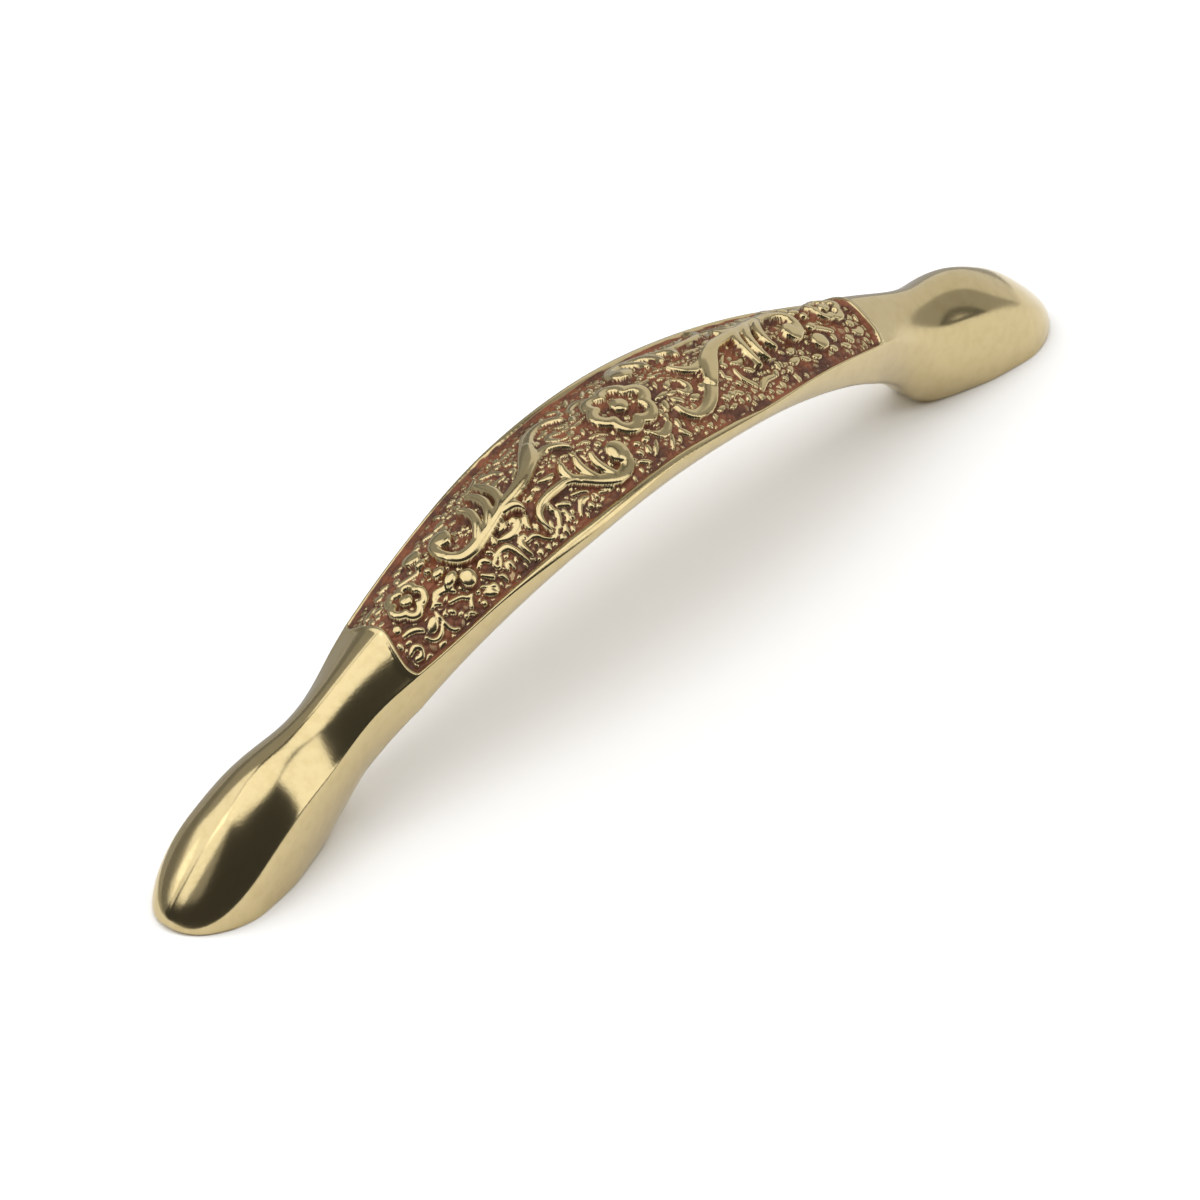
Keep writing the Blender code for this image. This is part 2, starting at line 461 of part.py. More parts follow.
def relief(x, y, half_width):
    """How far the crown is sunk or raised: the panel's ground, its rims and end lips, and the carving."""
    out = np.abs(x)
    side = np.abs(y)
    half_width = half_width[:, None]
    along_near_side = -x * np.sign(y) * DRAWN_HALF_LENGTH / PANEL_HALF_LENGTH
    rim = np.interp(along_near_side, *zip(*RIM)) * (MIDDLE_WIDTH / 2) / DRAWN_HALF_WIDTH
    to_rim = half_width - rim - side
    share = side / (PANEL_END_WIDTH / 2)
    bulge = END_BULGE * np.sin(math.pi / 2 * np.minimum(share / END_BULGE_PLACE, 1.0)) ** 2 * (x * y > 0.0)
    corner = END_BULGE / 2 * np.maximum((share - END_BULGE_PLACE) / END_ROUNDING, 0.0) ** 2
    to_end = PANEL_HALF_LENGTH + bulge - corner - out
    panel = ramp(to_rim, 0.0, WALL_WIDTH) * ramp(to_end, 0.0, WALL_WIDTH)
    beside = ramp(out, PANEL_HALF_LENGTH + END_BULGE, PANEL_HALF_LENGTH - END_BULGE)
    bead = RIM_RISE * beside * np.maximum(1.0 - ((to_rim + rim / 2) / (rim / 2)) ** 2, 0.0)
    lip = LIP_RISE * np.maximum(1.0 - ((to_end + LIP_WIDTH / 2) / (LIP_WIDTH / 2)) ** 2, 0.0)
    lip = lip * ramp(half_width - side, 0.0, LIP_WIDTH)
    return bead + lip + panel * (carving(x, y) - PANEL_DEPTH)


def brass():
    material = bpy.data.materials.new("cast_brass")
    material.use_nodes = True
    shader = material.node_tree.nodes["Principled BSDF"]
    shader.inputs["Base Color"].default_value = (0.52, 0.42, 0.24, 1.0)
    shader.inputs["Metallic"].default_value = 1.0
    shader.inputs["Roughness"].default_value = 0.32
    return material


def mesh_object(name, bm, collection):
    mesh = bpy.data.meshes.new(name)
    bm.to_mesh(mesh)
    bm.free()
    made = bpy.data.objects.new(name, mesh)
    collection.objects.link(made)
    return made


def body(collection):
    """A flat grid wrapped round the sections, with its seam and both toes closed."""
    rings = casting()
    along = rings.shape[0] - 1
    around = rings.shape[1] - 1
    bm = bmesh.new()
    bmesh.ops.create_grid(bm, x_segments=along, y_segments=around, size=1.0)
    for vert in bm.verts:
        row = round((vert.co.x + 1.0) / 2 * along)
        column = round((vert.co.y + 1.0) / 2 * around)
        vert.co = rings[row, column]
    bmesh.ops.remove_doubles(bm, verts=bm.verts, dist=1e-7)
    bmesh.ops.recalc_face_normals(bm, faces=bm.faces)
    made = mesh_object(NAME, bm, collection)
    made.data.materials.append(brass())
    made.data.shade_smooth()
    triangles = sum(len(face.vertices) - 2 for face in made.data.polygons)
    thin = made.modifiers.new("fewer faces", "DECIMATE")
    thin.ratio = min(1.0, TRIANGLES / triangles)
    thin.use_collapse_triangulate = True
    return made


def hole_cutter(name, place_x, collection):
    """The drill's and the countersink's path into one foot, turned about its axis."""
    radius = TAP_HOLE_WIDTH / 2
    below = -2 * TAP_HOLE_CHAMFER
    profile = ((0.0, TAP_HOLE_DEPTH + DRILL_POINT), (radius, TAP_HOLE_DEPTH), (radius, TAP_HOLE_CHAMFER),
               (radius + TAP_HOLE_CHAMFER - below, below), (0.0, below))
    bm = bmesh.new()
    verts = [bm.verts.new((across, 0.0, height)) for across, height in profile]
    for first, second in zip(verts[:-1], verts[1:]):
        bm.edges.new((first, second))
    cutter = mesh_object(name, bm, collection)
    cutter.location = (place_x, 0.0, 0.0)
    turn = cutter.modifiers.new("turn", "SCREW")
    turn.steps = HOLE_SIDES
    turn.render_steps = HOLE_SIDES
    turn.use_merge_vertices = True
    turn.merge_threshold = 1e-5
    cutter.hide_render = True
    cutter.display_type = "WIRE"
    return cutter


def sole_cutter(name, collection):
    """The block of space that grinding clears below both soles."""
    bm = bmesh.new()
    bmesh.ops.create_cube(bm, size=1.0)
    bmesh.ops.scale(bm, vec=(3 * HALF_LENGTH, 3 * MIDDLE_WIDTH, 4 * SOLE_STOCK), verts=bm.verts)
    bmesh.ops.translate(bm, vec=(0.0, 0.0, -2 * SOLE_STOCK), verts=bm.verts)
    cutter = mesh_object(name, bm, collection)
    cutter.hide_render = True
    cutter.display_type = "WIRE"
    return cutter


def cut(target, cutter):
    modifier = target.modifiers.new(cutter.name, "BOOLEAN")
    modifier.operation = "DIFFERENCE"
    modifier.solver = "EXACT"
    modifier.object = cutter


def main():
    for old in list(bpy.data.objects):
        bpy.data.objects.remove(old, do_unlink=True)
    pull = bpy.data.collections.new(NAME)
    cutters = bpy.data.collections.new("cutters")
    bpy.context.scene.collection.children.link(pull)
    bpy.context.scene.collection.children.link(cutters)
    handle = body(pull)
    cut(handle, sole_cutter("ground_soles", cutters))
    cut(handle, hole_cutter("left_hole", -HOLE_X, cutters))
    cut(handle, hole_cutter("right_hole", HOLE_X, cutters))


main()
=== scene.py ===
"""The look of the bridge pull: polished cast brass, with brown stain left in the ground of its carving.

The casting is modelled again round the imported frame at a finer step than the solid, and its two
tapped holes get their thread. Metres, +Z up, soles on Z = 0, length along X.
"""

import math

import bpy
import numpy as np
from mathutils import Matrix, Vector


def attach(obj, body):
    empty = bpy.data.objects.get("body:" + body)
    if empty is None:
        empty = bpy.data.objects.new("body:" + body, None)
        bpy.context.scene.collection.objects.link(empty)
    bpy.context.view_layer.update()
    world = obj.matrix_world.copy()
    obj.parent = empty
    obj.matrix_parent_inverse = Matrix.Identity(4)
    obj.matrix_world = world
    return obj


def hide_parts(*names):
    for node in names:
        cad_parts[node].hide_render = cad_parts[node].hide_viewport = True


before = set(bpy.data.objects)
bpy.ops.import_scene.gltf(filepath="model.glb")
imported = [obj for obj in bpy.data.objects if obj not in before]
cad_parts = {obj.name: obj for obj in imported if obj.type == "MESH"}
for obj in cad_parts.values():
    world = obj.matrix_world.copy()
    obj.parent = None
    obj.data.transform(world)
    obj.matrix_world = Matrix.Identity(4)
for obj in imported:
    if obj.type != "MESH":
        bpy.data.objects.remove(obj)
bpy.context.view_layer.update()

NODE = "bridge_pull"

# Screw holes and feet
HOLE_SPACING = 0.096
TAP_HOLE_WIDTH = 0.0033
TAP_HOLE_DEPTH = 0.0070
TAP_HOLE_CHAMFER = 0.0004
DRILL_POINT = 0.0008
TOE_REACH = 0.012
TOE_CAP_LENGTH = 0.0077
TOE_LIFT = 0.00055
SOLE_CURL_LENGTH = 0.0080
SOLE_STOCK = 0.0003
HEEL_TO_HOLE = 0.0045
NECK_TO_HOLE = 0.0111
INSTEP_TO_HOLE = 0.0055
TOE_FROM_HOLE = 0.0055

# Sections from the middle of the bow to the toe: width over the crease, crown, crease and underside heights
MIDDLE_WIDTH = 0.01494
MIDDLE_CROWN = 0.02235
MIDDLE_CREASE = 0.01994
MIDDLE_UNDERSIDE = 0.0171
SHOULDER_TAPER = 0.0002
SHOULDER_CROWN = 0.0219
SHOULDER_CREASE = 0.0188
SHOULDER_UNDERSIDE = 0.01657
ARM_WIDTH = 0.0121
ARM_CROWN = 0.01915
ARM_CREASE = 0.01663
ARM_UNDERSIDE = 0.01313
PANEL_END_WIDTH = 0.0095
PANEL_END_CROWN = 0.01637
PANEL_END_CREASE = 0.01364
PANEL_END_UNDERSIDE = 0.0087
NECK_WIDTH = 0.0078
NECK_CROWN = 0.0140
NECK_CREASE = 0.01151
NECK_UNDERSIDE = 0.0046
INSTEP_WIDTH = 0.00835
INSTEP_CROWN = 0.01176
INSTEP_CREASE = 0.0087
BALL_WIDTH = 0.0098
BALL_CROWN = 0.01064
BALL_CREASE = 0.00692
TOE_WIDTH = 0.01017
TOE_CROWN = 0.00775
TOE_CREASE = 0.0040
UNDERSIDE_ROUNDING = 0.0005
ROUNDING_SHARE = 0.3

# Curves of the sections: the powers of the crown, of the flanks and of the toe's outline seen from above
CROWN_POWER = 1.63
BOW_FULLNESS = 1.16
FOOT_FULLNESS = 0.88
CREST_ROUNDING = 0.12
FLANK_POWER = 2.41
TOE_POWERS = (2.25, 0.532)

# Carved panel
PANEL_HALF_LENGTH = 0.0318
PANEL_DEPTH = 0.00055
END_BULGE = 0.0006
END_BULGE_PLACE = 0.7
END_ROUNDING = 0.2
RIM_RISE = 0.00012
LIP_WIDTH = 0.0005
LIP_RISE = 0.0001
WALL_WIDTH = 0.00022
SCROLL_RISE = 0.00095
FORK_RISE = 0.00072
BRANCH_RISE = 0.00085
FLOWER_RISE = 0.00090
BUD_RISE = 0.00075
CURL_RISE = 0.00105
BEAD_RISE = 0.00080
PEBBLE_RISE = 0.00038
WORM_RISE = 0.00034
BACK_ROUNDING = 0.18
BACK_POWER = 2.4

# The carving stands taller or lower than these rises at places along it, in drawn millimetres from
# the middle
SWELL = ((0.0, 0.95), (5.0, 0.85), (12.0, 0.95), (20.0, 1.15), (26.0, 1.10), (31.8, 0.85))

# Stain fades out between these shares of each form's rise
STAIN_SHARES = (0.59, 0.79)
STAIN_EDGE = 0.00008

# Each foot has one crisp crease. The other, at +Y in the foot at -X and at -Y in the foot at +X, is buffed
# soft and lies lower. Its sag grows and fades between these places along X, and the crown is fuller over it.
SOFT_FULLNESS = 0.50
SOFT_SAG = 0.0025
SAG_GROWS = (0.0315, 0.0455)
SAG_FADES = (0.0605, 0.0475)

# Passes of smoothing that round the creases, and their reach: over the crown in metres, and down the flank
# as a share of its height
BOW_PASSES = 2
CRISP_PASSES = 24
SOFT_PASSES = 60
CRISP_REACH = (0.0012, 0.30)
SOFT_REACH = (0.0016, 0.35)

# How finely the casting is modelled here
PANEL_STEP = 0.000128
FOOT_STEP = 0.0006
TOE_RINGS = 22
UNDER_ROWS = 7
LINE_STEPS = 6
LOBE_STEPS = 24
WELD_DISTANCE = 1e-7

# The least divisors, so that nothing is divided by nought
LEAST = 1e-9
LEAST_SQUARE = 1e-12

# Thread in the tapped holes. The V takes this share of the pitch on each side of its root.
THREAD_WIDTH = 0.0040
THREAD_PITCH = 0.0007
THREAD_VEE = 0.44
THREAD_ROWS_A_TURN = 6
THREAD_SIDES = 32
CUT_EDGE_ANGLE = math.radians(35.0)
SOLE_HEIGHT = 1e-6

# Finish of the casting: colours, clouds a metre of each noise, where the stain frays, how red it is,
# roughness, how far stain hides the metal, and the bump of the cast skin and the buffing
BRASS = (0.575, 0.465, 0.25, 1.0)
BRASS_DULL = (0.545, 0.435, 0.225, 1.0)
STAIN_DARK = (0.10, 0.035, 0.015, 1.0)
STAIN_RED = (0.29, 0.092, 0.034, 1.0)
CLOUD_SCALE = 900.0
GRAIN_SCALE = 3600.0
BUFFING_SCALE = 140.0
PATCH_SCALE = 420.0
STAIN_FRAYING = 0.5
STAIN_EDGES = (0.25, 0.75)
DULL_EDGES = (0.4, 0.7)
RED_EDGES = (0.38, 0.62)
RED_BY_PATCH = 0.7
RED_BY_GRAIN = 0.3
POLISHED_ROUGHNESS = 0.12
CLOUDED_ROUGHNESS = 0.06
STAIN_ROUGHNESS = 0.52
STAIN_COVER = 0.85
SKIN_STRENGTH = 0.35
SKIN_DEPTH = 0.00004
SKIN_ON_BRASS = 0.35
SKIN_ON_STAIN = 0.65
BUFFING_STRENGTH = 0.08
BUFFING_DEPTH = 0.00012

# Studio
FLOOR_SIZE = 4.0
FLOOR_COLOUR = 0.80
FLOOR_SEEN = 0.97
WORLD_LIGHT = 0.50
SCREEN_RADIUS = 1.3
SCREEN_SIDES = 72
WALL_HEIGHT = 2.3
CEILING_LEVEL = 0.05
CARD_SIZE = 1.0
CARD_PLACE = (-0.2, 0.514, 0.0003)
CARD_LEVEL = 0.45

# Screens round the pull: name, first and last azimuth, height of the lower and upper edge, and brightness
SCREENS = (
    ("low_screen", -135.0, 18.0, 0.02, 0.75, 0.06),
    ("front_screen", -68.0, 18.0, 0.75, WALL_HEIGHT, 0.06),
    ("left_wall", -150.0, -68.0, 0.75, WALL_HEIGHT, 0.40),
    ("back_left_wall", 138.0, 225.0, 0.02, 0.35, 0.25),
    ("back_left_top", 138.0, 210.0, 0.35, WALL_HEIGHT, 0.42),
    ("back_wall", 75.0, 138.0, 0.02, 1.30, 0.88),
    ("back_wall_top", 75.0, 138.0, 1.30, WALL_HEIGHT, 0.45),
    ("right_screen", 18.0, 50.0, 0.02, WALL_HEIGHT, 0.12),
    ("right_wall", 50.0, 75.0, 0.02, WALL_HEIGHT, 0.45),
)

# Lamps: name, shape, azimuth, elevation, width, depth and radiance. All are this far from the pull.
LAMP_DISTANCE = 1.2
LAMPS = (
    ("overhead", "DISK", -35.0, 86.0, 1.12, 1.12, 1.6),
    ("left", "RECTANGLE", -100.0, 47.0, 0.5, 0.75, 1.2),
    ("back_left", "RECTANGLE", -146.0, 44.0, 0.94, 1.05, 1.1),
    ("right", "RECTANGLE", 31.0, 31.0, 0.42, 1.42, 1.55),
)

# Camera
CAMERA_AZIMUTH = -49.07
CAMERA_ELEVATION = 37.88
CAMERA_ROLL = 0.37
CAMERA_DISTANCE = 0.78397
CAMERA_ASIDE = 0.001781
CAMERA_BELOW = -0.000341
FOCAL_PIXELS = 8689.0
IMAGE_SIZE = 1200
SENSOR_WIDTH = 36.0

HOLE_X = HOLE_SPACING / 2
HALF_LENGTH = HOLE_X + TOE_REACH
NECK_X = HOLE_X - NECK_TO_HOLE
HEEL_X = HOLE_X - HEEL_TO_HOLE
SHOULDER_WIDTH = MIDDLE_WIDTH - SHOULDER_TAPER
SHOULDER_X = 0.3 * NECK_X
ARM_X = 0.6 * NECK_X
PANEL_END_X = 0.85 * NECK_X
INSTEP_X = HOLE_X - INSTEP_TO_HOLE
TOE_X = HOLE_X + TOE_FROM_HOLE
STATIONS = (0.0, SHOULDER_X, ARM_X, PANEL_END_X, NECK_X, INSTEP_X, HOLE_X, TOE_X)
WIDTHS = (MIDDLE_WIDTH, SHOULDER_WIDTH, ARM_WIDTH, PANEL_END_WIDTH,
          NECK_WIDTH, INSTEP_WIDTH, BALL_WIDTH, TOE_WIDTH)
CROWNS = (MIDDLE_CROWN, SHOULDER_CROWN, ARM_CROWN, PANEL_END_CROWN,
          NECK_CROWN, INSTEP_CROWN, BALL_CROWN, TOE_CROWN)
CREASES = (MIDDLE_CREASE, SHOULDER_CREASE, ARM_CREASE, PANEL_END_CREASE,
           NECK_CREASE, INSTEP_CREASE, BALL_CREASE, TOE_CREASE)
UNDERSIDES = (MIDDLE_UNDERSIDE, SHOULDER_UNDERSIDE, ARM_UNDERSIDE, PANEL_END_UNDERSIDE, NECK_UNDERSIDE)

# How far the flank draws in from crease to sole, as a share of the half width, along the casting
TUCKS = ((0.0, 0.194), (SHOULDER_X, 0.165), (PANEL_END_X, 0.15), (NECK_X, 0.35),
         (NECK_X + 0.34 * NECK_TO_HOLE, 0.52), (HOLE_X - 0.33 * NECK_TO_HOLE, 0.28),
         (HOLE_X, 0.11), (TOE_X, 0.0))

# Rows of the flank, as shares of the way down from the crease, and rows of the rounding below it
FLANK_ROWS = (0.025, 0.06, 0.12, 0.2, 0.3, 0.42, 0.55, 0.7, 0.85, 0.93, 1.0)
ROUNDING_ROWS = 4

# The carving is drawn on a panel of this size, in millimetres seen from above, with its middle at 0, 0.
# Only the half at -X is drawn. Each point of a line is x, y and half the line's width there.
DRAWN_HALF_LENGTH = 31.8
DRAWN_HALF_WIDTH = 7.47
DRAWN_WALL = 0.16

# The ground between the forms is cast as close pebbles, one in each cell of a turned and jittered grid. The
# gap is the half width of the ground between two pebbles, and the moat is what they leave clear of the forms.
# The polish is how clean the brightest pebble is, and the wear how much less clean the others may be.
GROUND_RISE = 0.0003
GROUND_CELL = (0.86, 0.60)
GROUND_TURN = math.radians(35.0)
GROUND_REACH = 2.5
GROUND_SEED = 7
GROUND_GAP = (0.0, 0.11)
GROUND_MOAT = (0.10, 0.20)
GROUND_WEAR = 0.36
GROUND_POLISH = 0.88

# Width of the rim at places along the panel's near side. The far side has the same, turned by half.
RIM = ((-31.0, 0.15), (-26.0, 0.20), (-22.0, 0.35), (-18.0, 0.55), (-14.0, 0.78), (-9.0, 0.80),
       (0.0, 0.62), (8.0, 0.50), (12.0, 0.22), (20.0, 0.14))

STEM = (
    (-21.9, 2.25, 0.54), (-22.75, 1.75, 0.50), (-23.2, 0.7, 0.48), (-23.1, -0.3, 0.50),
    (-22.45, -1.05, 0.55), (-21.3, -1.33, 0.58), (-19.8, -1.2, 0.60), (-18.2, -0.95, 0.56),
    (-16.4, -0.58, 0.56), (-14.6, -0.38, 0.58), (-13, -0.05, 0.62), (-11.9, 0.5, 0.71), (-10.9, 1.2, 0.85),
    (-10, 2.1, 0.78), (-9.2, 2.9, 0.66),
)
UPPER_BRANCH = (
    (-10.4, 1.8, 0.70), (-9.2, 2.95, 0.66), (-7.9, 4.1, 0.62), (-6.7, 4.75, 0.55), (-5.5, 4.9, 0.50),
    (-4.75, 4.65, 0.48), (-4.25, 4.05, 0.44), (-4.1, 3.45, 0.30),
)
VOLUTE = (-21.77, 1.78, 1.0, 0.95, 40.0)
LOWER_BRANCH = (
    (-10.9, 0.9, 0.57), (-10.1, 1.05, 0.53), (-9.3, 1.2, 0.48), (-8.5, 1.05, 0.43), (-7.9, 0.6, 0.39),
    (-7.5, 0, 0.31), (-7.3, -0.6, 0.14),
)
THORN = ((-16.6, -0.85, 0.48), (-15.7, -1.1, 0.46), (-15.3, -1.6, 0.32), (-15.3, -2.2, 0.11))
SCROLL_LEAVES = (
    ((-20.1, -1.0, 0.42), (-19.1, -0.1, 0.44), (-18.5, 0.8, 0.42), (-18.2, 1.7, 0.40), (-18.3, 2.6, 0.28)),
    ((-18.6, -0.9, 0.42), (-17.7, -0.2, 0.44), (-17.0, 0.6, 0.42), (-16.6, 1.5, 0.42), (-16.4, 2.6, 0.38),
     (-16.5, 3.4, 0.25)),
    ((-16.9, -0.6, 0.42), (-16.1, -0.1, 0.44), (-15.5, 0.9, 0.44), (-15.2, 2.1, 0.42), (-15.1, 3.1, 0.36),
     (-15.05, 3.7, 0.22)),
)
C_SCROLL = (
    (-4.1, -3.3, 0.50), (-3.95, -4.0, 0.55), (-4.3, -4.75, 0.57), (-5.1, -5.25, 0.58), (-6.2, -5.3, 0.56),
    (-7.2, -4.9, 0.54), (-8.2, -4.3, 0.50), (-9.1, -3.6, 0.44), (-9.8, -3.1, 0.40), (-10.6, -2.8, 0.37),
    (-11.6, -2.75, 0.37), (-12.7, -2.7, 0.38), (-13.8, -2.85, 0.38), (-14.55, -3.3, 0.34),
    (-14.85, -4.0, 0.27), (-14.8, -4.9, 0.14),
)
C_BALL = (-4.4, -3.55, 1.05, 1.05, 0.0)
C_LEAVES = (
    ((-9.4, -3.5, 0.40), (-9.85, -2.8, 0.45), (-9.85, -2.1, 0.45), (-9.55, -1.5, 0.32)),
    ((-7.8, -4.4, 0.40), (-8.2, -3.5, 0.43), (-8.25, -2.5, 0.42), (-8.0, -1.8, 0.28)),
    ((-6.2, -5.0, 0.38), (-6.6, -4.1, 0.40), (-6.75, -3.2, 0.40), (-6.55, -2.35, 0.26)),
)
WORMS = (
    ((-30.9, -1.95, 0.16), (-30.3, -2.05, 0.22), (-29.7, -2.35, 0.22), (-29.3, -2.75, 0.16)),
    ((-31.2, -3.8, 0.18), (-30.7, -3.9, 0.20), (-30.4, -3.5, 0.20), (-30.8, -3.1, 0.20),
     (-31.4, -3.2, 0.15)),
    ((-29.5, -3.28, 0.10), (-29.2, -3.78, 0.14), (-28.7, -4.03, 0.15), (-28.1, -3.93, 0.15),
     (-27.7, -3.58, 0.10)),
    ((-27.45, -2.58, 0.12), (-27.4, -3.98, 0.15), (-27.2, -4.48, 0.17), (-26.8, -4.73, 0.12)),
    ((-27.4, -2.13, 0.15), (-27.0, -2.03, 0.19), (-26.6, -2.43, 0.15)),
    ((-26.7, -1.78, 0.26), (-26.1, -1.58, 0.34), (-25.3, -1.88, 0.32), (-24.9, -2.48, 0.20)),
    ((-25.9, -2.88, 0.16), (-24.9, -3.23, 0.19), (-24.4, -3.68, 0.19), (-24.0, -3.73, 0.15)),
    ((-24.7, -4.38, 0.15), (-24.2, -3.78, 0.17)),
    ((-22.15, -3.28, 0.15), (-21.9, -3.58, 0.18), (-21.5, -3.98, 0.24)),
    ((-22.9, -3.88, 0.09), (-22.3, -4.38, 0.16), (-21.9, -4.58, 0.21), (-21.9, -4.98, 0.14)),
    ((-21.0, -4.38, 0.11), (-20.75, -4.63, 0.19), (-20.75, -5.03, 0.13)),
    ((-21.85, -2.63, 0.18), (-21.5, -2.43, 0.21), (-21.05, -2.58, 0.26), (-20.85, -2.93, 0.20)),
    ((-18.7, -2.38, 0.18), (-18.1, -2.63, 0.32), (-17.3, -2.78, 0.36), (-16.5, -2.58, 0.36),
     (-16.2, -2.28, 0.25)),
    ((-15.6, -2.63, 0.28), (-15.9, -3.03, 0.30), (-16.0, -3.48, 0.18)),
    ((-20.5, -3.28, 0.13), (-20.0, -3.08, 0.23), (-19.3, -3.03, 0.28), (-18.7, -3.23, 0.29),
     (-18.4, -3.78, 0.25), (-18.25, -4.48, 0.20), (-18.15, -5.28, 0.11)),
    ((-20.7, -3.43, 0.11), (-20.6, -3.83, 0.15), (-20.2, -3.78, 0.14), (-19.85, -3.48, 0.14)),
    ((-20.1, -4.58, 0.11), (-19.8, -4.18, 0.20), (-19.5, -4.28, 0.22), (-19.55, -4.78, 0.15)),
    ((-16.85, -3.58, 0.20), (-17.3, -3.58, 0.25), (-17.6, -3.98, 0.28), (-17.55, -4.58, 0.20),
     (-17.5, -5.08, 0.11)),
    ((-17.0, -4.08, 0.13), (-16.4, -4.08, 0.22), (-15.9, -4.38, 0.20), (-15.6, -4.88, 0.17),
     (-15.05, -5.36, 0.15), (-14.45, -5.32, 0.15), (-14.05, -5.07, 0.15), (-13.65, -4.97, 0.19),
     (-13.25, -4.57, 0.21), (-13.05, -4.17, 0.29)),
    ((-13.7, -3.18, 0.13), (-13.2, -3.28, 0.22), (-13.2, -3.68, 0.25)),
    ((-12.45, -3.78, 0.20), (-12.0, -4.0, 0.28), (-11.65, -4.27, 0.25)),
    ((-12.45, -4.47, 0.20), (-12.45, -4.87, 0.20), (-12.75, -5.27, 0.19)),
    ((-12.45, -4.87, 0.18), (-12.2, -5.27, 0.17)),
    ((-11.55, -5.67, 0.13), (-10.95, -5.07, 0.17), (-10.45, -4.82, 0.28), (-9.75, -4.92, 0.16)),
    ((-10.75, -3.97, 0.13), (-9.95, -4.17, 0.17), (-9.35, -4.57, 0.10)),
    ((-8.55, -5.27, 0.13), (-7.85, -5.47, 0.17), (-7.15, -5.67, 0.10)),
    ((-12.1, -1.13, 0.12), (-11.6, -1.33, 0.25), (-11.0, -1.48, 0.28), (-10.6, -1.48, 0.18)),
    ((-6.4, -0.73, 0.12), (-5.8, -0.88, 0.20), (-5.45, -1.18, 0.22)),
    ((-4.9, -0.93, 0.12), (-4.1, -1.08, 0.19), (-3.4, -1.68, 0.10)),
    ((-2.2, 4.1, 0.28), (-1.4, 4.5, 0.38), (-0.65, 4.5, 0.38), (-0.1, 3.95, 0.22)),
    ((-6.9, 1.3, 0.24), (-7.1, 2.0, 0.30), (-6.9, 2.5, 0.32), (-6.3, 2.6, 0.32), (-5.9, 2.1, 0.22)),
    ((-13.2, 4.9, 0.32), (-12.6, 3.95, 0.26), (-12.6, 3.0, 0.18)),
    ((-11.45, 3.5, 0.20), (-11.0, 3.2, 0.22), (-11.2, 2.6, 0.18)),
    ((-15.8, 4.85, 0.20), (-14.9, 4.85, 0.25), (-14.2, 5.1, 0.28), (-13.5, 5.5, 0.20)),
    ((-14.5, 2.35, 0.24), (-13.8, 2.5, 0.28), (-13.1, 2.35, 0.22)),
    ((-26.9, 2.5, 0.25), (-25.8, 1.9, 0.30), (-25.0, 1.6, 0.24)),
    ((-30.7, 3.0, 0.28), (-30.2, 3.2, 0.32), (-29.6, 3.1, 0.24)),
)

